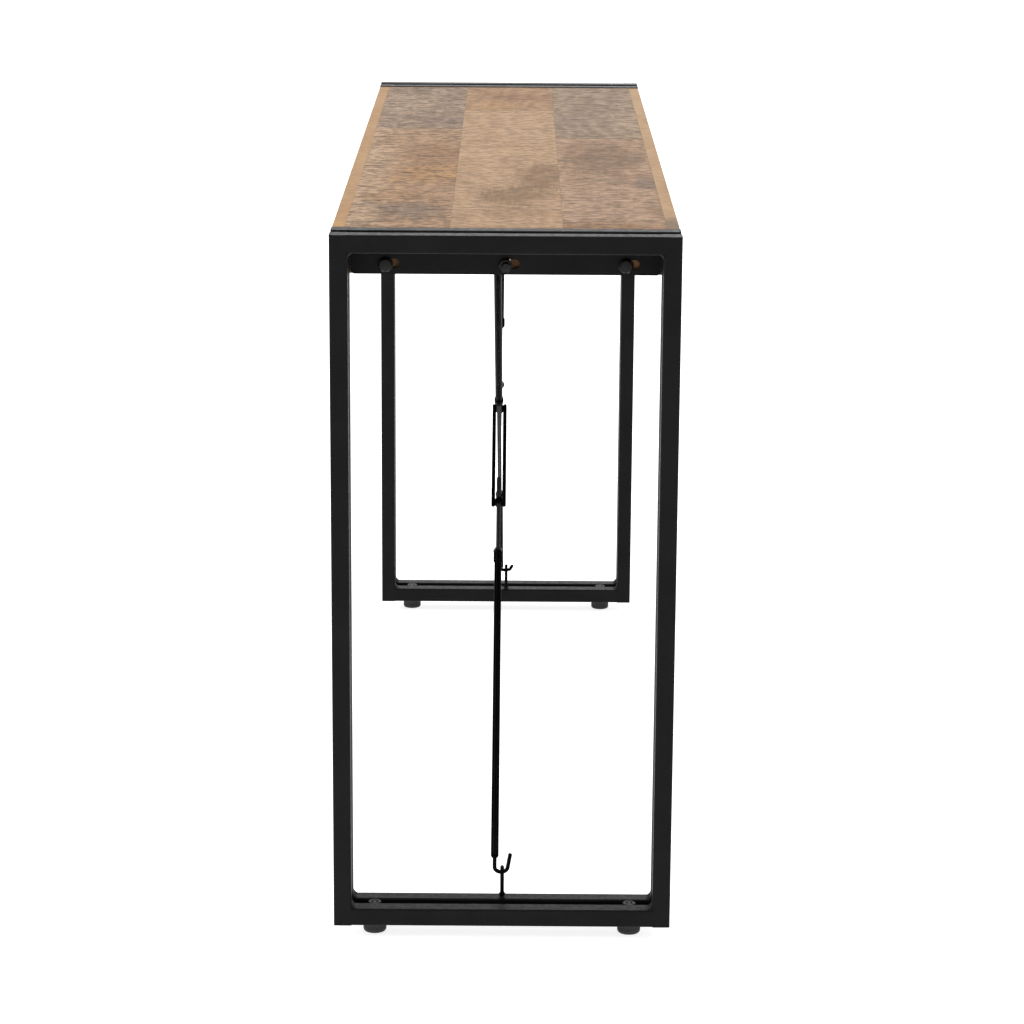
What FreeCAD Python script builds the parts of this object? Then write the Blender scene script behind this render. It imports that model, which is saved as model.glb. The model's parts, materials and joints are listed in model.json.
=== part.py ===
import FreeCAD, Part
import os
import re
from math import pi

import Sketcher
from FreeCAD import Placement, Rotation, Vector

# Console table: a slatted wooden top held between two welded end frames that
# a crossed pair of tie rods braces. Millimetres, +Z up, floor at Z = 0.
# X runs across the table, Y along it. The "near" end is the one at -Y.

SIZES = {
    "table_width": (360, "across the end frames and the top"),
    "table_length": (1320, "over the outer faces of both end frames"),
    "table_height": (762, "floor to the top of the end frames"),
    "frame_lift": (14.5, "floor to the underside of the end frames"),
    "tube_size": (19, "side of the square tube"),
    "tube_wall": (1.5, "wall of the square tube"),
    "tube_corner": (2, "outer corner radius of the square tube"),
    "groove_width": (13, "gap between the two rings of one end frame"),
    "web_thick": (5, "strip that joins the two rings"),
    "drain_radius": (2.5, "drain hole in a leg's lower cap"),
    "bead_size": (6, "leg of a fillet weld in a frame corner"),
    "bead_margin": (0.4, "frame corner weld short of the tube's edges"),
    "plate_thick": (4, "mounting plate"),
    "plate_drop": (29, "mounting plate below the top rail"),
    "plate_gap": (0.5, "mounting plate end to leg"),
    "plate_corner": (5, "lower corners of the mounting plate"),
    "plate_bead": (2.5, "weld at the end of a mounting plate"),
    "slot_length": (19.5, "slotted hole, end to end"),
    "slot_height": (10, "slotted hole, across"),
    "slot_shift": (4.75, "slot centre beside its bolt"),
    "slot_raise": (1, "slot centre above its bolt"),
    "bolt_spacing": (124, "outer bolts from the middle one"),
    "bolt_drop": (38, "bolts below the top of the frame"),
    "thread_radius": (3.9, "M8 shank"),
    "thread_fit": (0.06, "radial clearance of a threaded shank"),
    "hex_across": (12.8, "M8 hexagon across flats"),
    "hex_height": (6.5, "M8 nut and bolt head"),
    "flange_radius": (8, "flange under a bolt head"),
    "flange_thick": (1.5, "flange under a bolt head"),
    "lag_depth": (26, "wood screw bolt in the cleat"),
    "wood_drop": (0.8, "wooden top below the top of the frame"),
    "plank_thick": (20, "planks"),
    "plank_gap": (0.4, "open joint between planks"),
    "edge_thick": (13, "edge boards"),
    "edge_tall": (45, "edge boards"),
    "left_column": (109, "width of the left row of planks"),
    "middle_column": (117, "width of the middle row of planks"),
    "left_joint": (167, "butt joint of the left row from the middle"),
    "middle_joint": (350, "butt joint of the middle row from the middle"),
    "right_joint": (83, "butt joint of the right row from the middle"),
    "cleat_deep": (35, "end cleat along the table"),
    "cleat_tall": (27.2, "end cleat"),
    "hook_notch": (27, "notch in a cleat for the rod hook, across"),
    "hook_notch_tall": (14, "notch in a cleat for the rod hook"),
    "notch_web": (8, "cleat left whole between the plate and that notch"),
    "eye_notch": (9, "notch in a cleat for the eye bolt, across"),
    "eye_notch_tall": (22, "notch in a cleat for the eye bolt"),
    "batten_wide": (50, "batten along the table"),
    "batten_thick": (20, "batten"),
    "batten_place": (200, "battens from the middle of the table"),
    "screw_radius": (2, "batten screw shank"),
    "screw_head": (4, "batten screw head radius"),
    "screw_sink": (2.6, "height of the countersunk head"),
    "screw_bite": (12, "batten screw into the plank"),
    "wire_radius": (2.2, "hook wire"),
    "rod_offset": (8.25, "rod axes to the left of the middle of the table"),
    "hook_bend": (7.1, "radius of the hook's bend"),
    "hook_lean": (8, "outward lean of the hook's tip, in degrees"),
    "hook_inset": (34, "hook wire end inside its tube"),
    "hook_tip": (25, "hook tip from the bottom of the bend"),
    "rod_tube_radius": (4.25, "tube of a tie rod"),
    "rod_bore": (3.25, "bore of a tie rod tube"),
    "tube_start": (21.5, "tube end from the bottom of the bend"),
    "plug_end": (36, "end of the plug that grips the hook wire"),
    "mouth_radius": (3.4, "open mouth of a tie rod tube"),
    "mouth_depth": (5, "open mouth of a tie rod tube"),
    "collar_radius": (5.4, "collar at the mouth of a tie rod tube"),
    "collar_length": (16, "collar at the mouth of a tie rod tube"),
    "collar_taper": (2, "tapered ends of that collar"),
    "nose_round": (2, "rounded nose of a tie rod tube"),
    "stud_radius": (2.7, "thin threaded rod"),
    "stud_grip": (40, "threaded rod inside a tube"),
    "long_lower": (500, "rod A lower tube end from its hook"),
    "short_upper": (460, "rod A upper tube end from its hook"),
    "long_upper": (515, "rod B upper tube end from its hook"),
    "short_lower": (440, "rod B lower tube end from its hook"),
    "buckle_start": (582, "turnbuckle from the lower hook of rod A"),
    "buckle_length": (186, "turnbuckle bars"),
    "buckle_bar": (2.3, "radius of a turnbuckle bar"),
    "buckle_offset": (6.6, "turnbuckle bar from the rod axis"),
    "buckle_nut": (9, "turnbuckle end nut across flats"),
    "buckle_nut_tall": (9, "turnbuckle end nut"),
    "buckle_inset": (2, "turnbuckle end nut from the bar ends"),
    "lower_stud_end": (632, "end of the lower stud in the turnbuckle"),
    "upper_stud_end": (728, "end of the upper stud in the turnbuckle"),
    "lock_nut": (10, "lock nut across flats"),
    "lock_nut_tall": (5, "lock nut"),
    "upper_nut_place": (805, "upper lock nut from the lower hook"),
    "bottom_seat_inset": (42.86, "lower hook seat from the end face"),
    "bottom_seat_height": (60.67, "lower hook seat above the floor"),
    "top_seat_inset": (63.46, "upper hook seat from the end face"),
    "top_seat_height": (723.23, "upper hook seat above the floor"),
    "staple_wire": (2.1, "radius of the staple's wire"),
    "staple_bend": (6.4, "radius of the staple's bend"),
    "staple_height": (60, "centre of the staple's bend above the floor"),
    "eye_wire": (2.5, "radius of the eye bolt's ring wire"),
    "eye_bend": (7, "mean radius of the eye bolt's ring"),
    "eye_inset": (62, "eye bolt ring from the end face"),
    "eye_shank": (17, "eye bolt shank forward of its ring wire"),
    "foot_place": (137, "feet from the middle of the table"),
    "pad_radius": (12.5, "foot pad"),
    "pad_tall": (14, "foot pad"),
    "pad_round": (2.5, "lower rim of the foot pad"),
    "socket_floor": (5, "bottom of the socket in the foot pad"),
    "socket_radius": (6.3, "socket in the foot pad"),
    "socket_tall": (3.4, "socket in the foot pad"),
    "swivel_radius": (6, "swivel head of a foot stem"),
    "swivel_tall": (3, "swivel head of a foot stem"),
    "stem_top": (33, "foot stem top above the floor"),
    "driver_slot": (1.4, "screwdriver slot in the stem's top"),
    "driver_depth": (2, "screwdriver slot in the stem's top"),
}
SHEET = "sizes"
ENDS = ("near", "far")
SIDES = ("left", "right")

# Formulas that several sub-parts share.
FRAME_DEPTH = "(2 * tube_size + groove_width)"
RAIL_UNDER = "(table_height - tube_size)"
INSIDE = "(table_width / 2 - tube_size)"
WOOD_TOP = "(table_height - wood_drop)"
PLANK_UNDER = "(table_height - wood_drop - plank_thick)"
BOLT_HEIGHT = "(table_height - bolt_drop)"
WEB_LOW = "(frame_lift + tube_size / 2 - web_thick / 2)"
FOOT_INSET = "(tube_size + groove_width / 2)"
SLOPE = ("atan((top_seat_height - bottom_seat_height)"
         " / (table_length - top_seat_inset - bottom_seat_inset))")
ROD_SPAN = ("sqrt(pow(top_seat_height - bottom_seat_height; 2)"
            " + pow(table_length - top_seat_inset - bottom_seat_inset; 2))")

doc = FreeCAD.newDocument("console_table")
nodes = []


# ---------------------------------------------------------------- document

def make_sheet():
    """Write every driving size into the spreadsheet."""
    sheet = doc.addObject("Spreadsheet::Sheet", SHEET)
    for row, (alias, (value, meaning)) in enumerate(SIZES.items(), 1):
        sheet.set(f"A{row}", alias)
        sheet.set(f"B{row}", str(value))
        sheet.setAlias(f"B{row}", alias)
        sheet.set(f"C{row}", meaning)
    doc.recompute()


def qualified(formula):
    """Formula with each of the sheet's names written in full."""
    def full(word):
        name = word.group()
        return f"{SHEET}.{name}" if name in SIZES else name
    return re.sub(r"[a-z_]+", full, str(formula))


def bind(obj, prop, formula):
    """Bind a property to a formula written with the sheet's names."""
    obj.setExpression(prop, qualified(formula))


def value_of(formula):
    """Number that a formula has now, for a sketch's first draft."""
    total = doc.getObject(SHEET).evalExpression(qualified(formula))
    return float(getattr(total, "Value", total))


def place(obj, x, y, z, axis=Vector(0, 0, 1), angle=None):
    """Bind an object's place, and its turn about an axis when one is given."""
    obj.Placement = Placement(Vector(), Rotation(axis, 1 if angle else 0))
    if angle:
        bind(obj, "Placement.Rotation.Angle", angle)
    for letter, formula in (("x", x), ("y", y), ("z", z)):
        bind(obj, f"Placement.Base.{letter}", formula)
    return obj


def along(end, near, far):
    """Y limits of a stretch that is given by its distances from an end face."""
    if end == "near":
        return f"-table_length / 2 + {near}", f"-table_length / 2 + {far}"
    return f"table_length / 2 - {far}", f"table_length / 2 - {near}"


def point_along(end, inset):
    """Y of a point given by its distance from an end face."""
    return along(end, inset, inset)[0]


def keep(obj, label):
    """Name a finished sub-part and list it for export."""
    obj.Label = label
    nodes.append(obj)
    return obj


# ------------------------------------------------------------- primitives

def box(x, y, z):
    """Part::Box between two limits along each axis."""
    solid = doc.addObject("Part::Box", "Box")
    for prop, (low, high) in (("Length", x), ("Width", y), ("Height", z)):
        bind(solid, prop, f"({high}) - ({low})")
    return place(solid, x[0], y[0], z[0])


def cylinder(radius, height, x, y, z, axis=Vector(0, 0, 1), angle=None):
    """Part::Cylinder that stands on a point."""
    solid = doc.addObject("Part::Cylinder", "Cylinder")
    bind(solid, "Radius", radius)
    bind(solid, "Height", height)
    return place(solid, x, y, z, axis, angle)


def group(objects, kind="Part::Compound"):
    """Compound or fusion of several objects."""
    joined = doc.addObject(kind, "Group")
    if kind == "Part::Compound":
        joined.Links = objects
    else:
        joined.Shapes = objects
    return joined


def cut(base, tools):
    """Base less its tools."""
    result = doc.addObject("Part::Cut", "Cut")
    result.Base = base
    result.Tool = tools[0] if len(tools) == 1 else group(tools)
    return result


# --------------------------------------------------- PartDesign features

def sketch_on(body, role):
    """Sketch attached to one of the body's own origin planes."""
    sketch = body.newObject("Sketcher::SketchObject", "Sketch")
    plane = next(item for item in body.Origin.OriginFeatures if item.Role == role)
    sketch.AttachmentSupport = (plane, "")
    sketch.MapMode = "FlatFace"
    return sketch


def pin(sketch, kind, geometry, end, formula):
    """Hold one coordinate of a sketch point at a formula."""
    start = value_of(formula)
    index = sketch.addConstraint(Sketcher.Constraint(kind, -1, 1, geometry, end, start))
    bind(sketch, f"Constraints[{index}]", formula)


def pin_point(sketch, geometry, end, x, y):
    """Hold a sketch point at coordinates given as formulas."""
    pin(sketch, "DistanceX", geometry, end, x)
    pin(sketch, "DistanceY", geometry, end, y)


def polygon(sketch, corners):
    """Closed outline whose corners are held by formulas."""
    points = [Vector(value_of(x), value_of(y), 0) for x, y in corners]
    first = sketch.GeometryCount
    for start, end in zip(points, points[1:] + points[:1]):
        sketch.addGeometry(Part.LineSegment(start, end))
    count = len(points)
    for side in range(count):
        follower = first + (side + 1) % count
        sketch.addConstraint(
            Sketcher.Constraint("Coincident", first + side, 2, follower, 1))
    for side, (x, y) in enumerate(corners):
        pin_point(sketch, first + side, 1, x, y)


def turned(corners):
    """Body turned about its local Y from (radius, station) corners."""
    body = doc.addObject("PartDesign::Body", "Turned")
    profile = sketch_on(body, "XY_Plane")
    polygon(profile, corners)
    spin = body.newObject("PartDesign::Revolution", "Revolution")
    spin.Profile = profile
    spin.ReferenceAxis = (profile, ["V_Axis"])
    spin.Angle = 360
    doc.recompute()
    return body


def straight_edges(shape, direction):
    """Names of the straight edges that run along a direction."""
    names = []
    for number, edge in enumerate(shape.Edges, 1):
        if edge.Curve.TypeId != "Part::GeomLine":
            continue
        if abs(edge.tangentAt(edge.FirstParameter).dot(direction)) > 0.999:
            names.append(f"Edge{number}")
    return names


def round_edges(body, names, radius):
    """Round the named edges of a body's tip."""
    base = body.Tip
    fillet = body.newObject("PartDesign::Fillet", "Round")
    fillet.Base = (base, names)
    bind(fillet, "Radius", radius)
    doc.recompute()


def primitive(body, kind, sizes, x="0", y="0", z="0", axis=Vector(0, 0, 1), angle=None):
    """PartDesign primitive added to or taken from a body."""
    feature = body.newObject(f"PartDesign::{kind}", kind)
    for prop, formula in sizes.items():
        bind(feature, prop, formula)
    place(feature, x, y, z, axis, angle)
    doc.recompute()
    return feature


# ------------------------------------------------------------ end frames

def square_tube(x, y, z, axis, capped=False):
    """Square tube with rounded long edges and an open or capped bore."""
    body = doc.addObject("PartDesign::Body", "Tube")
    sizes = {prop: f"({high}) - ({low})"
             for prop, (low, high) in (("Length", x), ("Width", y), ("Height", z))}
    primitive(body, "AdditiveBox", sizes)
    direction = Vector(1, 0, 0) if axis == "x" else Vector(0, 0, 1)
    round_edges(body, straight_edges(body.Tip.Shape, direction), "tube_corner")
    bore = {prop: f"{size} - 2 * tube_wall" for prop, size in sizes.items()}
    start = ["tube_wall", "tube_wall", "tube_wall"]
    if axis == "x":
        bore["Length"], start[0] = sizes["Length"], "0"
    primitive(body, "SubtractiveBox", bore, *start)
    if capped:
        drain = {"Radius": "drain_radius", "Height": "2 * tube_wall"}
        primitive(body, "SubtractiveCylinder", drain,
                  "tube_size / 2", "tube_size / 2", "-tube_wall / 2")
    return place(body, x[0], y[0], z[0])


def ring_depth(end, ring):
    """Y limits of one ring of an end frame."""
    if ring == "outer":
        return along(end, "0", "tube_size")
    return along(end, "(tube_size + groove_width)", FRAME_DEPTH)


def side_span(side, near, far):
    """X limits of a stretch given by its distances from the centre line."""
    if side == "left":
        return f"-({far})", f"-({near})"
    return near, far


def make_ring(end, ring):
    """Two full-height legs with a top and a bottom rail between them."""
    y = ring_depth(end, ring)
    for side in SIDES:
        leg = square_tube(side_span(side, INSIDE, "table_width / 2"), y,
                          ("frame_lift", "table_height"), "z", capped=True)
        keep(leg, f"{end}_{ring}_{side}_leg")
    across = (f"-{INSIDE}", INSIDE)
    low = ("frame_lift", "frame_lift + tube_size")
    high = (RAIL_UNDER, "table_height")
    keep(square_tube(across, y, low, "x"), f"{end}_{ring}_bottom_rail")
    keep(square_tube(across, y, high, "x"), f"{end}_{ring}_top_rail")


def make_webs(end):
    """Recessed strips in the groove between the two rings of a frame."""
    y = along(end, "tube_size", "(tube_size + groove_width)")
    centre = "(table_width / 2 - tube_size / 2)"
    low, high = f"{centre} - web_thick / 2", f"{centre} + web_thick / 2"
    rail_top = "table_height - tube_size / 2 + web_thick / 2"
    strips = [box(side_span(side, low, high), y, (WEB_LOW, rail_top)) for side in SIDES]
    across = (f"-({low})", low)
    strips.append(box(across, y, (f"{rail_top} - web_thick", rail_top)))
    holes = []
    for side in SIDES:
        x = side_span(side, "foot_place", "foot_place")[0]
        holes.append(cylinder("thread_radius + thread_fit", "2 * web_thick", x,
                              point_along(end, FOOT_INSET), f"{WEB_LOW} - web_thick / 2"))
    strips.append(cut(box(across, y, (WEB_LOW, f"{WEB_LOW} + web_thick")), holes))
    keep(group(strips), f"{end}_groove_webs")


def corner_bead(end, ring, side, high):
    """Concave fillet weld where a rail meets a leg, short of a plate in its way."""
    start = "0" if ring == "outer" else "(tube_size + groove_width)"
    stop = f"{start} + tube_size - bead_margin"
    if ring == "inner" and high:
        stop = f"{FRAME_DEPTH} - plate_thick - bead_margin"
    y = along(end, f"({start} + bead_margin)", f"({stop})")
    x = side_span(side, f"{INSIDE} - bead_size", INSIDE)
    x_centre = side_span(side, f"{INSIDE} - bead_size", f"{INSIDE} - bead_size")[0]
    if high:
        z, z_centre = (f"{RAIL_UNDER} - bead_size", RAIL_UNDER), f"{RAIL_UNDER} - bead_size"
    else:
        floor = "frame_lift + tube_size"
        z, z_centre = (floor, f"{floor} + bead_size"), f"{floor} + bead_size"
    hollow = cylinder("bead_size", "tube_size + 2", x_centre, f"{y[0]} - 1", z_centre,
                      Vector(1, 0, 0), "-90")
    return cut(box(x, y, z), [hollow])


def plate_end_bead(end, side):
    """Quarter-round weld between a mounting plate and a leg."""
    x = side_span(side, INSIDE, INSIDE)[0]
    face = point_along(end, f"({FRAME_DEPTH} - plate_thick)")
    turn = {("near", "left"): "270", ("near", "right"): "180",
            ("far", "left"): "0", ("far", "right"): "90"}[end, side]
    bead = cylinder("plate_bead", "plate_drop - plate_corner - bead_size - 0.5", x, face,
                    f"{RAIL_UNDER} - plate_drop + plate_corner", angle=turn)
    bead.Angle = 90
    return bead


def make_welds():
    """All visible weld beads of both end frames."""
    beads = [corner_bead(end, ring, side, high)
             for end in ENDS for ring in ("outer", "inner")
             for side in SIDES for high in (False, True)]
    beads += [plate_end_bead(end, side) for end in ENDS for side in SIDES]
    keep(group(beads), "frame_weld_beads")


def slot(sketch, x, y):
    """Horizontal slotted hole centred on a point."""
    radius, reach = "slot_height / 2", "(slot_length / 2 - slot_height / 2)"
    middle, size = Vector(value_of(x), value_of(y), 0), value_of(radius)
    step = Vector(value_of(reach), 0, 0)
    first = sketch.GeometryCount
    up = Vector(0, 0, 1)
    for centre, begin in ((middle - step, pi / 2), (middle + step, -pi / 2)):
        circle = Part.Circle(centre, up, size)
        sketch.addGeometry(Part.ArcOfCircle(circle, begin, begin + pi))
    lift = Vector(0, size, 0)
    sketch.addGeometry(Part.LineSegment(middle - step - lift, middle + step - lift))
    sketch.addGeometry(Part.LineSegment(middle + step + lift, middle - step + lift))
    for one, end, other, start in ((0, 2, 2, 1), (2, 2, 1, 1), (1, 2, 3, 1), (3, 2, 0, 1)):
        sketch.addConstraint(
            Sketcher.Constraint("Tangent", first + one, end, first + other, start))
    index = sketch.addConstraint(Sketcher.Constraint("Radius", first, size))
    bind(sketch, f"Constraints[{index}]", radius)
    pin_point(sketch, first, 3, f"{x} - {reach}", y)
    pin_point(sketch, first + 1, 3, f"{x} + {reach}", y)


def make_plate(end):
    """Slotted plate under a top rail that carries the wooden top."""
    body = doc.addObject("PartDesign::Body", "Plate")
    outline = sketch_on(body, "XZ_Plane")
    half, low = f"({INSIDE} - plate_gap)", f"{RAIL_UNDER} - plate_drop"
    polygon(outline, [(f"-{half}", low), (half, low), (half, RAIL_UNDER),
                      (f"-{half}", RAIL_UNDER)])
    for place_x in ("-bolt_spacing", "0", "bolt_spacing"):
        slot(outline, f"{place_x} + slot_shift", f"{BOLT_HEIGHT} + slot_raise")
    pad = body.newObject("PartDesign::Pad", "Plate")
    pad.Profile = outline
    bind(pad, "Length", "plate_thick")
    doc.recompute()
    low_height = value_of(low)
    lower = [name for name in straight_edges(pad.Shape, Vector(0, 1, 0))
             if abs(pad.Shape.getElement(name).CenterOfMass.z - low_height) < 0.01]
    round_edges(body, lower, "plate_corner")
    place(body, "0", along(end, f"({FRAME_DEPTH} - plate_thick)", FRAME_DEPTH)[1], "0")
    keep(body, f"{end}_mounting_plate")


# ------------------------------------------------------------- fasteners

def hexagon(body, across, tall, y="0"):
    """Hexagonal prism along the body's local Y."""
    sizes = {"Circumradius": f"{across} / sqrt(3)", "Height": tall}
    prism = primitive(body, "AdditivePrism", sizes, "0", y, "0", Vector(1, 0, 0), "-90")
    prism.Polygon = 6
    doc.recompute()


def hex_nut(across, tall, radius):
    """Nut along its local Y with a bore that clears its thread."""
    body = doc.addObject("PartDesign::Body", "Nut")
    hexagon(body, across, tall)
    primitive(body, "SubtractiveCylinder",
              {"Radius": f"{radius} + thread_fit", "Height": f"{tall} + 2"},
              "0", "-1", "0", Vector(1, 0, 0), "-90")
    return body


def lag_bolt():
    """Hexagon-head wood screw with a flange, head towards local -Y."""
    body = turned([("0", "0 - flange_thick"), ("flange_radius", "0 - flange_thick"),
                   ("flange_radius", "0"), ("thread_radius", "0"),
                   ("thread_radius", "plate_thick + lag_depth - 5"),
                   ("0", "plate_thick + lag_depth")])
    hexagon(body, "hex_across", "hex_height", "0 - flange_thick - hex_height + 0.5")
    return body


def inward_angle(end):
    """Turn about Z that points a local Y axis into the table."""
    return "0" if end == "near" else "180"


def make_lag_bolts():
    """Outer bolts of both plates, driven into the cleats."""
    bolts = []
    for end in ENDS:
        face = point_along(end, f"({FRAME_DEPTH} - plate_thick)")
        for x in ("-bolt_spacing", "bolt_spacing"):
            bolts.append(place(lag_bolt(), x, face, BOLT_HEIGHT,
                               Vector(0, 0, 1), inward_angle(end)))
    keep(group(bolts), "top_lag_bolts")


def make_eye_bolts():
    """Eye bolts through the middle slots that hold the upper rod ends."""
    bolts = []
    for end in ENDS:
        ring = doc.addObject("Part::Torus", "Ring")
        bind(ring, "Radius1", "eye_bend")
        bind(ring, "Radius2", "eye_wire")
        place(ring, "0", point_along(end, "eye_inset"), BOLT_HEIGHT, Vector(0, 1, 0), "90")
        tip = "(eye_inset - eye_bend - eye_wire - eye_shank)"
        low, high = along(end, tip, "(eye_inset - eye_bend)")
        shank = cylinder("thread_radius", f"({high}) - ({low})", "0", low, BOLT_HEIGHT,
                         Vector(1, 0, 0), "-90")
        bolts.append(group([ring, shank], "Part::MultiFuse"))
    keep(group(bolts), "brace_eye_bolts")


def make_nuts():
    """M8 nuts: one on each eye bolt and one welded over each foot."""
    nuts = []
    for end in ENDS:
        face = point_along(end, f"({FRAME_DEPTH} - plate_thick)")
        turn = "180" if end == "near" else "0"
        nuts.append(place(hex_nut("hex_across", "hex_height", "thread_radius"), "0", face,
                          BOLT_HEIGHT, Vector(0, 0, 1), turn))
        for side in SIDES:
            nut = hex_nut("hex_across", "hex_height", "thread_radius")
            x = side_span(side, "foot_place", "foot_place")[0]
            nuts.append(place(nut, x, point_along(end, FOOT_INSET),
                              f"{WEB_LOW} + web_thick", Vector(1, 0, 0), "90"))
    keep(group(nuts), "m8_nuts")


SCREW_SPOTS = (
    # across the table, along the table from the middle, foot of the screw
    [(x, y, f"{PLANK_UNDER} - batten_thick")
     for y in ("-batten_place", "batten_place") for x in ("-112", "8", "112")]
    + [(x, point_along(end, f"({FRAME_DEPTH} + cleat_deep / 2)"),
        f"{PLANK_UNDER} - cleat_tall") for end in ENDS for x in ("-88", "35", "88")])


def screw_shape(spot, fit):
    """Countersunk screw, or the hole for it when the fit is not zero."""
    x, y, z = spot
    length = f"{PLANK_UNDER} + screw_bite - ({z})"
    shank = cylinder(f"screw_radius + {fit}", length, x, y, z)
    head = doc.addObject("Part::Cone", "Head")
    bind(head, "Radius1", f"screw_head + {fit}")
    bind(head, "Radius2", f"screw_radius + {fit}")
    bind(head, "Height", "screw_sink")
    place(head, x, y, z)
    return group([shank, head], "Part::MultiFuse")


def make_screws():
    """Screws up through the battens and cleats into the planks."""
    keep(group([screw_shape(spot, "0") for spot in SCREW_SPOTS]), "batten_screws")


def screw_holes(x, y):
    """Holes for the screws whose spots lie between two limits each way."""
    low_x, high_x, low_y, high_y = [value_of(item) for item in (*x, *y)]
    return [screw_shape(spot, "thread_fit") for spot in SCREW_SPOTS
            if low_x < value_of(spot[0]) < high_x and low_y < value_of(spot[1]) < high_y]


# ------------------------------------------------------------ wooden top

def make_plank(label, x, y):
    """One plank with its screw holes."""
    plank = box(x, y, (PLANK_UNDER, WOOD_TOP))
    holes = screw_holes(x, y)
    keep(cut(plank, holes) if holes else plank, label)


def make_planks():
    """Three rows of planks, each butted from two lengths."""
    left = "(-table_width / 2 + edge_thick + plank_gap)"
    first = "(-table_width / 2 + edge_thick + left_column)"
    second = "(-table_width / 2 + edge_thick + left_column + middle_column)"
    right = "(table_width / 2 - edge_thick - plank_gap)"
    rows = {"left": ((left, first), "left_joint"),
            "middle": ((f"{first} + plank_gap", second), "middle_joint"),
            "right": ((f"{second} + plank_gap", right), "right_joint")}
    ends = f"(table_length / 2 - {FRAME_DEPTH})"
    for name, (x, joint) in rows.items():
        make_plank(f"{name}_plank_near", x, (f"-{ends}", joint))
        make_plank(f"{name}_plank_far", x, (f"{joint} + plank_gap", ends))


def make_edge_boards():
    """Tall boards along both sides of the top."""
    ends = f"(table_length / 2 - {FRAME_DEPTH})"
    for side in SIDES:
        x = side_span(side, "table_width / 2 - edge_thick", "table_width / 2")
        keep(box(x, (f"-{ends}", ends), (f"{WOOD_TOP} - edge_tall", WOOD_TOP)),
             f"{side}_edge_board")


def make_cleat(end):
    """Cross piece under the plank ends, notched for the eye bolt and the hook."""
    half = "(table_width / 2 - edge_thick - plank_gap)"
    y = along(end, FRAME_DEPTH, f"({FRAME_DEPTH} + cleat_deep)")
    low = f"({PLANK_UNDER} - cleat_tall)"
    through = (f"{y[0]} - 1", f"{y[1]} + 1")
    behind_web = along(end, f"({FRAME_DEPTH} + notch_web)", f"({FRAME_DEPTH} + cleat_deep + 1)")
    tools = [box(("-hook_notch / 2", "hook_notch / 2"), behind_web,
                 (f"{low} - 1", f"{low} + hook_notch_tall")),
             box(("-eye_notch / 2", "eye_notch / 2"), through,
                 (f"{low} - 1", f"{low} + eye_notch_tall"))]
    for x in ("-bolt_spacing", "bolt_spacing"):
        start = along(end, FRAME_DEPTH, f"({FRAME_DEPTH} + lag_depth)")[0]
        tools.append(cylinder("thread_radius + thread_fit", "lag_depth", x, start,
                              BOLT_HEIGHT, Vector(1, 0, 0), "-90"))
    tools += screw_holes((f"-{half}", half), y)
    keep(cut(box((f"-{half}", half), y, (low, PLANK_UNDER)), tools), f"{end}_cleat")


def make_battens():
    """Two cross battens under the planks."""
    half = "(table_width / 2 - edge_thick - 15)"
    for end, sign in (("near", "-"), ("far", "")):
        centre = f"{sign}batten_place"
        y = (f"{centre} - batten_wide / 2", f"{centre} + batten_wide / 2")
        batten = box((f"-{half}", half), y, (f"{PLANK_UNDER} - batten_thick", PLANK_UNDER))
        keep(cut(batten, screw_holes((f"-{half}", half), y)), f"{end}_batten")


# ------------------------------------------------------------ rod bracing

ROD_ENDS = {
    # rod end: which table end, height formula, turn about X of the rod's way
    "brace_a_lower": ("near", "bottom", SLOPE),
    "brace_a_upper": ("far", "top", f"180 deg + {SLOPE}"),
    "brace_b_upper": ("near", "top", f"-{SLOPE}"),
    "brace_b_lower": ("far", "bottom", f"180 deg - {SLOPE}"),
}


def place_on_rod(obj, rod_end, x="-rod_offset"):
    """Put a body's origin on a hook seat and its local Y along the rod."""
    end, level, turn = ROD_ENDS[rod_end]
    y = point_along(end, f"{level}_seat_inset")
    return place(obj, x, y, f"{level}_seat_height", Vector(1, 0, 0), turn)


def wire_path(body, start, bend, tip, lean):
    """U-shaped path: down from (-bend, start), round, and up to tip with a lean."""
    path = sketch_on(body, "XY_Plane")
    turn_x, turn_y = f"{bend} * cos({lean})", f"{bend} * (1 - sin({lean}))"
    tip_x = f"{turn_x} + ({tip} - {turn_y}) * tan({lean})"
    radius, turn = value_of(bend), Vector(value_of(turn_x), value_of(turn_y), 0)
    circle = Part.Circle(Vector(0, radius, 0), Vector(0, 0, 1), radius)
    finish = 2 * pi - value_of(lean) * pi / 180
    left, high = Vector(-radius, radius, 0), Vector(-radius, value_of(start), 0)
    path.addGeometry(Part.LineSegment(high, left))
    path.addGeometry(Part.ArcOfCircle(circle, pi, finish))
    path.addGeometry(Part.LineSegment(turn, Vector(value_of(tip_x), value_of(tip), 0)))
    path.addConstraint(Sketcher.Constraint("Coincident", 0, 2, 1, 1))
    path.addConstraint(Sketcher.Constraint("Coincident", 1, 2, 2, 1))
    pin_point(path, 0, 1, f"0 - {bend}", start)
    pin_point(path, 0, 2, f"0 - {bend}", bend)
    pin_point(path, 2, 1, turn_x, turn_y)
    pin_point(path, 2, 2, tip_x, tip)
    pin(path, "DistanceY", 1, 3, bend)
    return path


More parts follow.
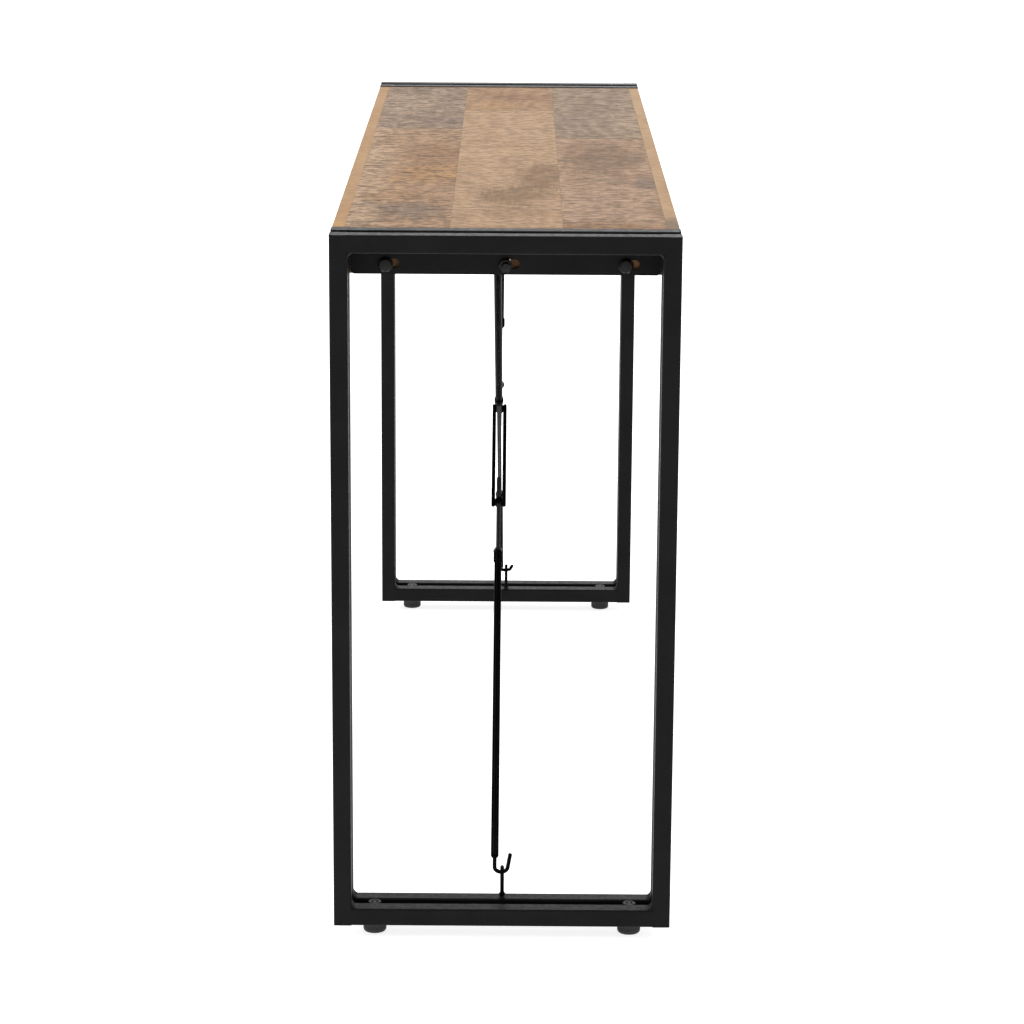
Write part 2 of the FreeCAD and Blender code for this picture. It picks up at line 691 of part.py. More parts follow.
def bent_wire(start, bend, tip, radius, lean="0 deg"):
    """U-shaped round wire in the body's XY plane, bottom of the U at the origin."""
    body = doc.addObject("PartDesign::Body", "Wire")
    path = wire_path(body, start, bend, tip, lean)
    profile = sketch_on(body, "XZ_Plane")
    profile.addGeometry(Part.Circle(Vector(-value_of(bend), 0, 0), Vector(0, 0, 1), 1))
    index = profile.addConstraint(Sketcher.Constraint("Radius", 0, 1.0))
    bind(profile, f"Constraints[{index}]", radius)
    pin_point(profile, 0, 3, f"0 - {bend}", "0")
    bind(profile, "AttachmentOffset.Base.z", f"0 - ({start})")
    doc.recompute()
    sweep = body.newObject("PartDesign::AdditivePipe", "Sweep")
    sweep.Profile = profile
    sweep.Spine = (path, [])
    doc.recompute()
    return body


def make_hook(rod_end):
    """J-shaped hook whose shank runs into its tube."""
    hook = bent_wire("hook_inset", "hook_bend", "hook_tip", "wire_radius", "hook_lean * 1 deg")
    keep(place_on_rod(hook, rod_end, "hook_bend - rod_offset"), f"{rod_end}_hook")


def make_rod_tube(rod_end, length):
    """Tube with a plugged nose round the hook wire and an open mouth."""
    grip = f"{length} - stud_grip - mouth_depth"
    thread = "stud_radius + thread_fit"
    tube = turned([
        ("wire_radius + thread_fit", "tube_start"),
        ("rod_tube_radius - nose_round", "tube_start"),
        ("rod_tube_radius - nose_round * 0.3", "tube_start + nose_round * 0.3"),
        ("rod_tube_radius", "tube_start + nose_round"),
        ("rod_tube_radius", f"{length} - collar_length"),
        ("collar_radius", f"{length} - collar_length + collar_taper"),
        ("collar_radius", f"{length} - collar_taper"),
        ("rod_tube_radius", length), ("mouth_radius", length),
        ("mouth_radius", f"{length} - mouth_depth"), (thread, f"{length} - mouth_depth"),
        (thread, grip), ("rod_bore", grip), ("rod_bore", "plug_end"),
        ("wire_radius + thread_fit", "plug_end")])
    keep(place_on_rod(tube, rod_end), f"{rod_end}_tube")


def make_stud(label, rod_end, start, stop):
    """Round rod between two stations from a hook seat."""
    stud = turned([("0", start), ("stud_radius", start), ("stud_radius", stop), ("0", stop)])
    keep(place_on_rod(stud, rod_end), label)


def make_lock_nut(label, rod_end, station):
    """Nut round a stud at a station from a hook seat."""
    nut = doc.addObject("PartDesign::Body", "Nut")
    hexagon(nut, "lock_nut", "lock_nut_tall", station)
    primitive(nut, "SubtractiveCylinder",
              {"Radius": "stud_radius + thread_fit", "Height": "lock_nut_tall + 2"},
              "0", f"{station} - 1", "0", Vector(1, 0, 0), "-90")
    keep(place_on_rod(nut, rod_end), label)


def make_turnbuckle():
    """Two round bars joined by a threaded nut at each end."""
    body = doc.addObject("PartDesign::Body", "Turnbuckle")
    for sign in ("-", ""):
        primitive(body, "AdditiveCylinder",
                  {"Radius": "buckle_bar", "Height": "buckle_length"},
                  f"{sign}buckle_offset", "buckle_start", "0", Vector(1, 0, 0), "-90")
        if sign == "-":
            first = "buckle_start + buckle_inset"
            hexagon(body, "buckle_nut", "buckle_nut_tall", first)
            hexagon(body, "buckle_nut", "buckle_nut_tall",
                    "buckle_start + buckle_length - buckle_inset - buckle_nut_tall")
    primitive(body, "SubtractiveCylinder",
              {"Radius": "stud_radius + thread_fit", "Height": "buckle_length + 2"},
              "0", "buckle_start - 1", "0", Vector(1, 0, 0), "-90")
    keep(place_on_rod(body, "brace_a_lower"), "turnbuckle")


def make_bracing():
    """Both tie rods, with the turnbuckle on rod A and rod B through its loop."""
    for rod_end, length in (("brace_a_lower", "long_lower"), ("brace_a_upper", "short_upper"),
                            ("brace_b_upper", "long_upper"), ("brace_b_lower", "short_lower")):
        make_hook(rod_end)
        make_rod_tube(rod_end, length)
    make_stud("brace_a_lower_stud", "brace_a_lower", "long_lower - stud_grip", "lower_stud_end")
    make_stud("brace_a_upper_stud", "brace_a_lower", "upper_stud_end",
              f"{ROD_SPAN} - short_upper + stud_grip")
    make_stud("brace_b_rod", "brace_b_upper", "long_upper - stud_grip",
              f"{ROD_SPAN} - short_lower + stud_grip")
    make_lock_nut("brace_a_lower_nut", "brace_a_lower", "long_lower")
    make_lock_nut("brace_a_upper_nut", "brace_a_lower", "upper_nut_place")
    make_turnbuckle()


def make_staples():
    """Upright staples welded on the bottom rails for the lower hooks."""
    staples = []
    legs = "staple_height + staple_bend - frame_lift - tube_size"
    for end in ENDS:
        staple = bent_wire(legs, "staple_bend", legs, "staple_wire")
        centre = point_along(end, f"({FRAME_DEPTH} - tube_size / 2)")
        turned_over = Rotation(Vector(0, 0, 1), 90).multiply(Rotation(Vector(1, 0, 0), -90))
        staple.Placement = Placement(Vector(), turned_over)
        for letter, formula in (("x", "0"), ("y", centre),
                                ("z", "staple_height + staple_bend")):
            bind(staple, f"Placement.Base.{letter}", formula)
        staples.append(staple)
    keep(group(staples), "bottom_rail_staples")


# ------------------------------------------------------------------- feet

def make_foot(end, side):
    """Levelling foot: a pad that swivels on the head of a threaded stem."""
    x = side_span(side, "foot_place", "foot_place")[0]
    y = point_along(end, FOOT_INSET)
    socket_top = "socket_floor + socket_tall"
    pad = turned([("0", "0"), ("pad_radius - pad_round", "0"),
                  ("pad_radius - pad_round * 0.3", "pad_round * 0.3"),
                  ("pad_radius", "pad_round"), ("pad_radius", "pad_tall - 1"),
                  ("pad_radius - 1", "pad_tall"), ("thread_radius + thread_fit", "pad_tall"),
                  ("thread_radius + thread_fit", socket_top), ("socket_radius", socket_top),
                  ("socket_radius", "socket_floor"), ("0", "socket_floor")])
    keep(place(pad, x, y, "0", Vector(1, 0, 0), "90"), f"{end}_{side}_foot_pad")
    low = "socket_floor + (socket_tall - swivel_tall) / 2"
    stem = turned([("0", low), ("swivel_radius", low), ("swivel_radius", f"{low} + swivel_tall"),
                   ("thread_radius", f"{low} + swivel_tall"), ("thread_radius", "stem_top"),
                   ("0", "stem_top")])
    primitive(stem, "SubtractiveBox",
              {"Length": "4 * thread_radius", "Width": "2 * driver_depth",
               "Height": "driver_slot"},
              "-2 * thread_radius", "stem_top - driver_depth", "-driver_slot / 2")
    keep(place(stem, x, y, "0", Vector(1, 0, 0), "90"), f"{end}_{side}_foot_stem")


# ------------------------------------------------------------------ build

def check_and_export():
    """Refuse a broken object, then write one STEP file for each sub-part."""
    for obj in doc.Objects:
        if "Invalid" in obj.State or "Error" in obj.State:
            raise RuntimeError(f"{obj.Name} ({obj.Label}) is {obj.State}")
    os.makedirs("parts", exist_ok=True)
    for obj in nodes:
        shape = obj.Shape
        if shape.isNull() or not shape.isValid():
            raise RuntimeError(f"{obj.Label} has no valid shape")
        shape.exportStep(f"parts/{obj.Label}.step")
    print(len(nodes), "sub-parts written")


make_sheet()
for table_end in ENDS:
    make_ring(table_end, "outer")
    make_ring(table_end, "inner")
    make_webs(table_end)
    make_plate(table_end)
    make_cleat(table_end)
make_welds()
make_planks()
make_edge_boards()
make_battens()
make_lag_bolts()
make_eye_bolts()
make_nuts()
make_screws()
make_staples()
make_bracing()
for table_end in ENDS:
    for table_side in SIDES:
        make_foot(table_end, table_side)
doc.recompute()
check_and_export()
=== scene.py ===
"""Looks of a console table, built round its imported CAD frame.

A planked mango wood top hangs between two welded end frames of powder-coated
square tube, which crossed tie rods with a turnbuckle brace. Metres, +Z up,
the near end at -Y, the floor at Z = 0.
"""

import json
import logging
import math
import random
from dataclasses import dataclass, field
from enum import Enum
from typing import Callable, Iterable, Sequence

import bpy
from mathutils import Matrix, Vector, noise


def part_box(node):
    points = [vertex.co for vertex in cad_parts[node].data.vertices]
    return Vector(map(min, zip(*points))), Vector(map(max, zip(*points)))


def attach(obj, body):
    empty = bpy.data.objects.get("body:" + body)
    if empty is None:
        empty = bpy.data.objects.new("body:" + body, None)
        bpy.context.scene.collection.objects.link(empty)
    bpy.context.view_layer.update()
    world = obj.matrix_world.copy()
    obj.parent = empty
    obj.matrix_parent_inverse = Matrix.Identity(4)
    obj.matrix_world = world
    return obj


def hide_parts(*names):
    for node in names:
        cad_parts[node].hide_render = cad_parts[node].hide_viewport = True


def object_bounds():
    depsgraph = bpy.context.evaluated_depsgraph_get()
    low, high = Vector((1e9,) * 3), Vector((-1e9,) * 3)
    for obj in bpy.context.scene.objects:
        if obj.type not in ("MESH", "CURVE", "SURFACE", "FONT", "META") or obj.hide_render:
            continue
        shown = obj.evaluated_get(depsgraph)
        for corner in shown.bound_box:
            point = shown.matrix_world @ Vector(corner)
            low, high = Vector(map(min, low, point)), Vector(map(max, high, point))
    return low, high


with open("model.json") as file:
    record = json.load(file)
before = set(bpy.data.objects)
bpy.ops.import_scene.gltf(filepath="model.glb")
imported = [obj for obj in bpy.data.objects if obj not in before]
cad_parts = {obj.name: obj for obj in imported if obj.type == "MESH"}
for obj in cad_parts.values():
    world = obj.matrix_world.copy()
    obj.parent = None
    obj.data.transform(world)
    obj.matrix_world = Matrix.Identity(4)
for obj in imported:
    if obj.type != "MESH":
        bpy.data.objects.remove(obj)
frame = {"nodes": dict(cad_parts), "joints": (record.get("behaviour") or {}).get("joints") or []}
CAD_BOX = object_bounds()

LOG = logging.getLogger("console_table")
TABLE_BODY = "table"
TURN = 2 * math.pi
# A board's end farther out than this is free, so it is worn and not tight.
OPEN_END = 0.6
Colour = tuple[float, float, float, float]
Socket = bpy.types.NodeSocket
Tree = bpy.types.NodeTree
Outline = list[tuple[float, float]]


class End(Enum):
    """The two ends of the table, with the sign of their Y."""

    NEAR = -1
    FAR = 1


class Side(Enum):
    """The two long sides of the table, with the sign of their X."""

    LEFT = -1
    RIGHT = 1


# ------------------------------------------------------------- shader help


def linear(hex_code: str) -> Colour:
    """Turn an sRGB hex colour into linear light.

    Args:
        hex_code: Six hex digits, such as "BEA488".

    Returns:
        Linear red, green, blue and an alpha of one.
    """
    channels = [int(hex_code[at : at + 2], 16) / 255 for at in (0, 2, 4)]
    light = [c / 12.92 if c <= 0.04045 else ((c + 0.055) / 1.055) ** 2.4 for c in channels]
    return (light[0], light[1], light[2], 1.0)


def feed(tree: Tree, node: bpy.types.Node, inputs: dict) -> None:
    """Link or set the inputs of a node.

    Args:
        tree: Node tree that holds the node.
        node: The node.
        inputs: Socket name or number to a value, or to a socket to link from.
    """
    for key, value in inputs.items():
        if isinstance(value, Socket):
            tree.links.new(value, node.inputs[key])
        else:
            node.inputs[key].default_value = value


def add_node(
    tree: Tree,
    kind: str,
    inputs: dict | None = None,
    stops: Sequence[tuple[float, Colour]] = (),
    **settings: object,
) -> bpy.types.Node:
    """Add one shader node with its settings and links.

    Args:
        tree: Node tree that takes the node.
        kind: Node type, without its "ShaderNode" prefix.
        inputs: Socket name or number to a value, or to a socket to link from.
        stops: Place and colour of each stop of a colour ramp.
        **settings: Attributes of the node itself.

    Returns:
        The new node.
    """
    node = tree.nodes.new("ShaderNode" + kind)
    for name, value in settings.items():
        setattr(node, name, value)
    feed(tree, node, inputs or {})
    if stops:
        elements = node.color_ramp.elements
        while len(elements) < len(stops):
            elements.new(0.5)
        for element, (place, colour) in zip(elements, stops):
            element.position = place
            element.color = colour
    return node


def mottle(tree: Tree, place: Socket, size: float, detail: float = 2.0) -> Socket:
    """Even noise.

    Args:
        tree: Node tree that takes the nodes.
        place: Coordinates.
        size: Size of its features in metres.
        detail: How many finer layers it has.

    Returns:
        Its strength.
    """
    inputs = {"Vector": place, "Scale": 1 / size, "Detail": detail}
    return add_node(tree, "TexNoise", inputs).outputs["Fac"]


def remap(
    tree: Tree, value: Socket, low: float, high: float,
    to_low: float = 0.0, to_high: float = 1.0, **settings: object,
) -> Socket:
    """Stretch a range of values onto another one.

    Args:
        tree: Node tree that takes the node.
        value: Value to stretch.
        low: Start of its range.
        high: End of its range.
        to_low: Where the start goes.
        to_high: Where the end goes.
        **settings: Attributes of the node.

    Returns:
        The stretched value.
    """
    inputs = {"Value": value, "From Min": low, "From Max": high,
              "To Min": to_low, "To Max": to_high}
    return add_node(tree, "MapRange", inputs, **settings).outputs["Result"]


def calculate(tree: Tree, operation: str, *values: object) -> Socket:
    """Work out a number.

    Args:
        tree: Node tree that takes the node.
        operation: What the math node does.
        *values: Its inputs, in order.

    Returns:
        The number.
    """
    node = add_node(tree, "Math", dict(enumerate(values)), operation=operation)
    return node.outputs["Value"]


def combine(tree: Tree, operation: str, *values: object) -> Socket:
    """Work out a vector.

    Args:
        tree: Node tree that takes the node.
        operation: What the vector math node does.
        *values: Its inputs, in order.

    Returns:
        The vector.
    """
    node = add_node(tree, "VectorMath", dict(enumerate(values)), operation=operation)
    return node.outputs["Vector"]


def mix(tree: Tree, factor: Socket, first: object, second: object) -> Socket:
    """Mix two colours.

    Args:
        tree: Node tree that takes the node.
        factor: Share of the second colour.
        first: Socket or linear colour.
        second: Socket or linear colour.

    Returns:
        The mixed colour.
    """
    inputs = {"Factor": factor, 6: first, 7: second}
    return add_node(tree, "Mix", inputs, data_type="RGBA").outputs[2]


def relief(tree: Tree, height: Socket, depth: float, strength: float) -> Socket:
    """Bend the surface's normal over a fine relief.

    Args:
        tree: Node tree that takes the node.
        height: Height from 0 to 1.
        depth: What a height of 1 measures, in metres.
        strength: How much of it shows.

    Returns:
        The bent normal.
    """
    inputs = {"Height": height, "Distance": depth, "Strength": strength}
    return add_node(tree, "Bump", inputs).outputs["Normal"]


@dataclass(frozen=True)
class Finish:
    """A surface finish that builds its own material once.

    Attributes:
        name: What the material is called.
        slot: The record's material slot; not used.
    """

    name: str
    slot: str

    def material(self) -> bpy.types.Material:
        """Make the material, or fetch it when it is already there.

        Returns:
            The finished material.
        """
        made = bpy.data.materials.get(self.name)
        if made is None:
            made = bpy.data.materials.new(self.name)
            made.use_nodes = True
            tree = made.node_tree
            self.paint(tree, tree.nodes["Principled BSDF"])
        return made

    def paint(self, tree: Tree, shader: bpy.types.Node) -> None:
        """Lay out the nodes that feed the shader.

        Args:
            tree: The material's node tree.
            shader: Its Principled shader.
        """
        raise NotImplementedError


@dataclass(frozen=True)
class CoatedSteel(Finish):
    """Steel under a thin dark coat: mottled tone, uneven gloss, fine grain.

    Attributes:
        tone: Main colour.
        patch: Colour of the broad, faint patches.
        rough: Lowest and highest roughness.
        grain: Size of the coat's grain in metres.
        relief: Height of the grain in metres.
        level: Specular level of the coat.
        metal: How metallic the coat looks.
        edge: Tint of the reflection towards the silhouette.
        dust: Colour of the palest flecks.
        cloud: Size of the broad patches in metres.
        fleck: Size of the flecks in metres.
    """

    tone: str = "0D0D0E"
    patch: str = "131314"
    rough: tuple[float, float] = (0.44, 0.6)
    grain: float = 0.0012
    relief: float = 0.00006
    level: float = 0.1
    metal: float = 0.0
    edge: float = 1.0
    dust: str = "1F1E1D"
    cloud: float = 0.045
    fleck: float = 0.004

    def paint(self, tree: Tree, shader: bpy.types.Node) -> None:
        """Lay out mottling, gloss and grain.

        Args:
            tree: The material's node tree.
            shader: Its Principled shader.
        """
        place = add_node(tree, "TexCoord").outputs["Object"]
        fleck = mottle(tree, place, self.fleck, 3.0)
        stops = [(0.35, linear(self.tone)), (0.7, linear(self.patch))]
        clouds = {"Fac": mottle(tree, place, self.cloud, 4.0)}
        tone = add_node(tree, "ValToRGB", clouds, stops=stops).outputs["Color"]
        grain = mottle(tree, place, self.grain)
        feed(tree, shader, {
            "Base Color": mix(tree, remap(tree, fleck, 0.62, 0.8, 0.0, 0.35), tone,
                              linear(self.dust)),
            "Roughness": remap(tree, fleck, 0.3, 0.7, *self.rough),
            "Normal": relief(tree, grain, self.relief, 0.7),
            "Specular IOR Level": self.level,
            "Metallic": self.metal,
            "Specular Tint": (self.edge, self.edge, self.edge, 1.0),
        })


@dataclass(frozen=True)
class Blotch:
    """Soft patch of another tone in a board.

    Attributes:
        x: Middle across the table.
        y: Middle along the table.
        wide: Half width across the table.
        long: Half length along the table.
        tone: Colour of the patch.
        strength: How far the patch hides the board's own colour.
    """

    x: float
    y: float
    wide: float
    long: float
    tone: str
    strength: float


# Sizes of the wood's patterns, in features per metre across, along and up.
DRIFT = (11, 8, 11)  # changes of tone, 90 by 125 mm
GRAIN = (420, 22, 420)  # drawn-out fibres, 2.4 by 45 mm
PORES = (30, 520, 30)  # fine cuts across the board, 33 by 2 mm
# A saw really leaves marks 1 to 2 mm apart; these are coarser so that they show from afar.
SAW_MARKS = (40, 150, 40)  # broken lines across the board, 25 by 7 mm
SPECKLE = (120, 150, 120)  # lighter and darker spots, 8 by 7 mm, coarser than real fibre
RING_BEND = (9, 3.2, 9)  # bends of the growth rings, 110 by 310 mm
RING_GAP = 0.030  # metres between growth rings
RING_SWIRL = 42.0  # how far the bends carry the rings, in radians
WORN_BROWN = "865F3E"


# Waxed mango wood, sawn and lightly sanded: matt, warm brown, mottled grey where it is
# spalted, with dark saw marks across the planks and a figure that swirls.
@dataclass(frozen=True)
class MangoWood(Finish):
    """Saw-marked, waxed mango wood whose grain runs along the table.

    Attributes:
        light: Colour of the pale wood between the figure's lines.
        middle: Colour of the figure.
        line: Colour in the saw marks and open pores.
        blotches: Patches of other tones.
        seed: Shift that gives each board its own pattern.
        figure: How strongly the figure shows.
        marks: How strongly the saw marks show.
        worn_ends: Half the distance between the two worn ends, or zero.
        wax: Share of red, green and blue that the amber wax lets back out.
    """

    light: str = "BEA284"
    middle: str = "A5886B"
    line: str = "6E5844"
    blotches: tuple[Blotch, ...] = ()
    seed: float = 0.0
    figure: float = 0.6
    marks: float = 0.5
    worn_ends: float = 0.0
    wax: tuple[float, float, float] = (0.62, 0.575, 0.53)

    def paint(self, tree: Tree, shader: bpy.types.Node) -> None:
        """Lay out figure, patches, saw marks and relief.

        Args:
            tree: The material's node tree.
            shader: Its Principled shader.
        """
        place = add_node(tree, "TexCoord").outputs["Object"]
        shifted = combine(tree, "ADD", place, (self.seed, self.seed * 2.3, 0.0))
        drift = self._noise(tree, shifted, DRIFT, 2.0)
        grain = self._noise(tree, shifted, GRAIN, 4.0)
        marks = self._noise(tree, shifted, SAW_MARKS, 6.0)
        pores = self._noise(tree, shifted, PORES, 3.0)
        clouds = remap(tree, drift, 0.35, 0.7, 0.0, 1 - self.figure)
        figure = calculate(
            tree, "MULTIPLY_ADD", self._figure(tree, shifted), self.figure, clouds
        )
        colour = mix(tree, figure, linear(self.light), linear(self.middle))
        for blotch in self.blotches:
            mask = self._patch(tree, place, drift, grain, blotch)
            colour = mix(tree, mask, colour, linear(blotch.tone))
        streaks = remap(tree, grain, 0.3, 0.75, 0.0, 0.3)
        colour = mix(tree, streaks, colour, linear(self.middle))
        for lines, low, high, share in ((marks, 0.55, 0.62, 1.0), (pores, 0.54, 0.66, 0.7)):
            dark = remap(tree, lines, low, high, 0.0, self.marks * share)
            colour = mix(tree, dark, colour, linear(self.line))
        if self.worn_ends:
            colour = self._wear_ends(tree, place, colour)
        speckle = self._noise(tree, shifted, SPECKLE, 4.0)
        depth = remap(tree, speckle, 0.38, 0.62, 1 - self.marks * 0.5, 1 + self.marks * 0.4)
        waxed = {0: combine(tree, "MULTIPLY", colour, self.wax), "Scale": depth}
        feed(tree, shader, {
            "Base Color": add_node(
                tree, "VectorMath", waxed, operation="SCALE"
            ).outputs["Vector"],
            "Roughness": remap(tree, pores, 0.3, 0.7, 0.55, 0.75),
            "Normal": relief(tree, calculate(tree, "ADD", marks, pores), 0.0005, 0.45),
            "Specular IOR Level": 0.07,
        })

    @staticmethod
    def _noise(
        tree: Tree, place: Socket, counts: tuple[float, float, float], detail: float
    ) -> Socket:
        """Noise with its own size along each axis.

        Args:
            tree: Node tree that takes the nodes.
            place: Coordinates.
            counts: Features per metre along X, Y and Z.
            detail: How many finer layers it has.

        Returns:
            Its strength.
        """
        return mottle(tree, combine(tree, "MULTIPLY", place, counts), 1.0, detail)

    def _figure(self, tree: Tree, place: Socket) -> Socket:
        """Nested growth rings 30 mm apart, which swirl.

        Args:
            tree: Node tree that takes the nodes.
            place: Coordinates.

        Returns:
            Zero to one across each ring.
        """
        bend = self._noise(tree, place, RING_BEND, 2.5)
        across = add_node(tree, "SeparateXYZ", {0: place}).outputs["X"]
        rings = calculate(tree, "MULTIPLY", across, TURN / RING_GAP)
        phase = calculate(tree, "MULTIPLY_ADD", bend, RING_SWIRL, rings)
        return remap(tree, calculate(tree, "SINE", phase), -1.0, 1.0)

    @staticmethod
    def _patch(
        tree: Tree, place: Socket, drift: Socket, grain: Socket, blotch: Blotch
    ) -> Socket:
        """Mask of one blotch, with a ragged edge that follows the grain.

        Args:
            tree: Node tree that takes the nodes.
            place: Coordinates.
            drift: Broad noise, which makes the outline uneven.
            grain: Fine noise, which tears it.
            blotch: The blotch.

        Returns:
            How far the blotch shows.
        """
        away = combine(tree, "SUBTRACT", place, (blotch.x, blotch.y, 0.0))
        scaled = combine(tree, "MULTIPLY", away, (1 / blotch.wide, 1 / blotch.long, 0.0))
        length = add_node(tree, "VectorMath", {0: scaled}, operation="LENGTH")
        uneven = calculate(tree, "MULTIPLY_ADD", drift, 1.6, length.outputs["Value"])
        torn = calculate(tree, "MULTIPLY_ADD", grain, 0.7, uneven)
        return remap(
            tree, torn, 2.35, 1.45, 0.0, blotch.strength, interpolation_type="SMOOTHSTEP"
        )

    def _wear_ends(self, tree: Tree, place: Socket, colour: Socket) -> Socket:
        """Warm brown band along the eased ends of the planks.

        Args:
            tree: Node tree that takes the nodes.
            place: Coordinates.
            colour: Colour of the wood so far.

        Returns:
            The colour with the bands.
        """
        along = add_node(tree, "SeparateXYZ", {0: place}).outputs["Y"]
        reach = calculate(tree, "ABSOLUTE", along)
        mask = remap(tree, reach, self.worn_ends - 0.014, self.worn_ends - 0.002, 0.0, 0.75)
        return mix(tree, mask, colour, linear(WORN_BROWN))


@dataclass(frozen=True)
class MouldedNylon(Finish):
    """Black moulded nylon: dull, faintly grained, scuffed paler in spots."""

    def paint(self, tree: Tree, shader: bpy.types.Node) -> None:
        """Lay out scuffs and grain.

        Args:
            tree: The material's node tree.
            shader: Its Principled shader.
        """
        place = add_node(tree, "TexCoord").outputs["Object"]
        stops = [(0.45, linear("151515")), (0.75, linear("2B2A28"))]
        scuffs = {"Fac": mottle(tree, place, 0.006, 5.0)}
        feed(tree, shader, {
            "Base Color": add_node(tree, "ValToRGB", scuffs, stops=stops).outputs["Color"],
            "Normal": relief(tree, mottle(tree, place, 0.0008), 0.00005, 0.6),
            "Roughness": 0.6,
        })


# Polyester powder coat on the tubes: near black, soft broad highlights.
FRAME_COAT = CoatedSteel("powder_coated_steel", "frame_coat")
# Satin black lacquer over round bar: smoother, nearly black, with a narrow dim highlight.
ROD_LACQUER = CoatedSteel(
    "lacquered_round_bar", "rod_coat", tone="0C0D0F", patch="121316",
    rough=(0.3, 0.42), relief=0.00003, level=0.5, metal=1.0, edge=0.38,
)
# Chemically blackened thread: browner than the paint, with a little of the metal's shine.
BLACK_THREAD = CoatedSteel(
    "blackened_threaded_bar", "dark_thread", tone="1C1B19", patch="2A2825",
    rough=(0.38, 0.52), relief=0.00002, level=0.3, metal=0.5,
)
# Black oxide on bolts and nuts: flat and slightly brown.
BLACK_OXIDE = CoatedSteel(
    "black_oxide_steel", "dark_fastener", tone="0E0D0C", patch="161412",
    rough=(0.4, 0.55), relief=0.00003, level=0.22,
)
# Zinc plate on the screws: bright grey with cloudy patches.
ZINC_PLATE = CoatedSteel(
    "zinc_plated_steel", "zinc_screw", tone="A9AAA6", patch="C4C4BE",
    rough=(0.25, 0.4), relief=0.00002, level=0.5, metal=1.0,
)
# Injection-moulded nylon under the feet: dull black, scuffed paler.
NYLON = MouldedNylon("moulded_nylon", "foot_plastic")


# --------------------------------------------------------------- mesh help


@dataclass
class Box:
    """Lowest and highest corner of a solid."""

    low: Vector
    high: Vector

    @property
    def middle(self) -> Vector:
        """Middle of the box."""
        return (self.low + self.high) / 2


def solids(node: str) -> list[Box]:
    """Boxes of the separate solids of a CAD node.

    Args:
        node: Name of the CAD node.

    Returns:
        One box for each solid, ordered along Y, then X, then Z.
    """
    mesh = frame["nodes"][node].data
    spots: dict[tuple[int, int, int], int] = {}
    key = [spots.setdefault(tuple(round(c * 1e6) for c in v.co), len(spots)) for v in mesh.vertices]
    leader = list(range(len(spots)))

    def find(item: int) -> int:
        """Leader of the set that an item is in."""
        while leader[item] != item:
            leader[item] = leader[leader[item]]
            item = leader[item]
        return item

    for face in mesh.polygons:
        first = find(key[face.vertices[0]])
        for corner in face.vertices[1:]:
            leader[find(key[corner])] = first
    groups: dict[int, list[Vector]] = {}
    for spot, number in spots.items():
        groups.setdefault(find(number), []).append(Vector(spot) * 1e-6)
    boxes = [
        Box(Vector(map(min, zip(*points))), Vector(map(max, zip(*points))))
        for points in groups.values()
    ]
    return sorted(boxes, key=lambda box: tuple(round(box.middle[axis], 4) for axis in (1, 0, 2)))


def span(node: str, origin: Vector, axis: Vector) -> tuple[float, float]:
    """Lowest and highest station of a CAD node along an axis.

    Args:
        node: Name of the CAD node.
        origin: Point where the stations start.
        axis: Unit vector along which they run.

    Returns:
        The two stations in metres.
    """
    stations = [(v.co - origin).dot(axis) for v in frame["nodes"][node].data.vertices]
    return min(stations), max(stations)


def axis_frame(origin: Vector, axis: Vector, cross: Vector = Vector((1, 0, 0))) -> Matrix:
    """Frame whose Z runs along an axis.

    Args:
        origin: Where the frame sits.
        axis: Direction of its Z.
        cross: Direction near its X.

    Returns:
        The frame as a 4 by 4 matrix.
    """
    z = axis.normalized()
    y = z.cross(cross).normalized()
    x = y.cross(z)
    turn = Matrix((x, y, z)).transposed().to_4x4()
    return Matrix.Translation(origin) @ turn


def circle(radius: float, steps: int = 32) -> Outline:
    """Points round a circle.

    Args:
        radius: Its radius.
        steps: How many points.

    Returns:
        The points, anticlockwise from X.
    """
    angles = [TURN * step / steps for step in range(steps)]
    return [(radius * math.cos(a), radius * math.sin(a)) for a in angles]


def hexagon(across: float, limit: float, steps: int = 48) -> Outline:
    """Points round a hexagon whose corners are trimmed.

    Args:
        across: Its size across flats.
        limit: Radius of the circle that trims the corners.
        steps: How many points.

    Returns:
        The points, anticlockwise from X.
    """
    points = []
    for step in range(steps):
        angle = TURN * step / steps
        flat = across / 2 / math.cos((angle % (TURN / 6)) - TURN / 12)
        radius = min(flat, limit)
        points.append((radius * math.cos(angle), radius * math.sin(angle)))
    return points


def ring_at(outline: Outline, station: float) -> list[Vector]:
    """Lift an outline to a station along Z.

    Args:
        outline: Points in X and Y.
        station: Their Z.

    Returns:
        The ring.
    """
    return [Vector((x, y, station)) for x, y in outline]


def polar(steps: int, station: float, reach: Callable[[int], float]) -> list[Vector]:
    """Ring whose radius is worked out point by point.

    Args:
        steps: How many points.
        station: Their Z.
        reach: Radius of a point from its number.

    Returns:
        The ring.
    """
    return [
        Vector((reach(step) * math.cos(TURN * step / steps),
                reach(step) * math.sin(TURN * step / steps), station))
        for step in range(steps)
    ]


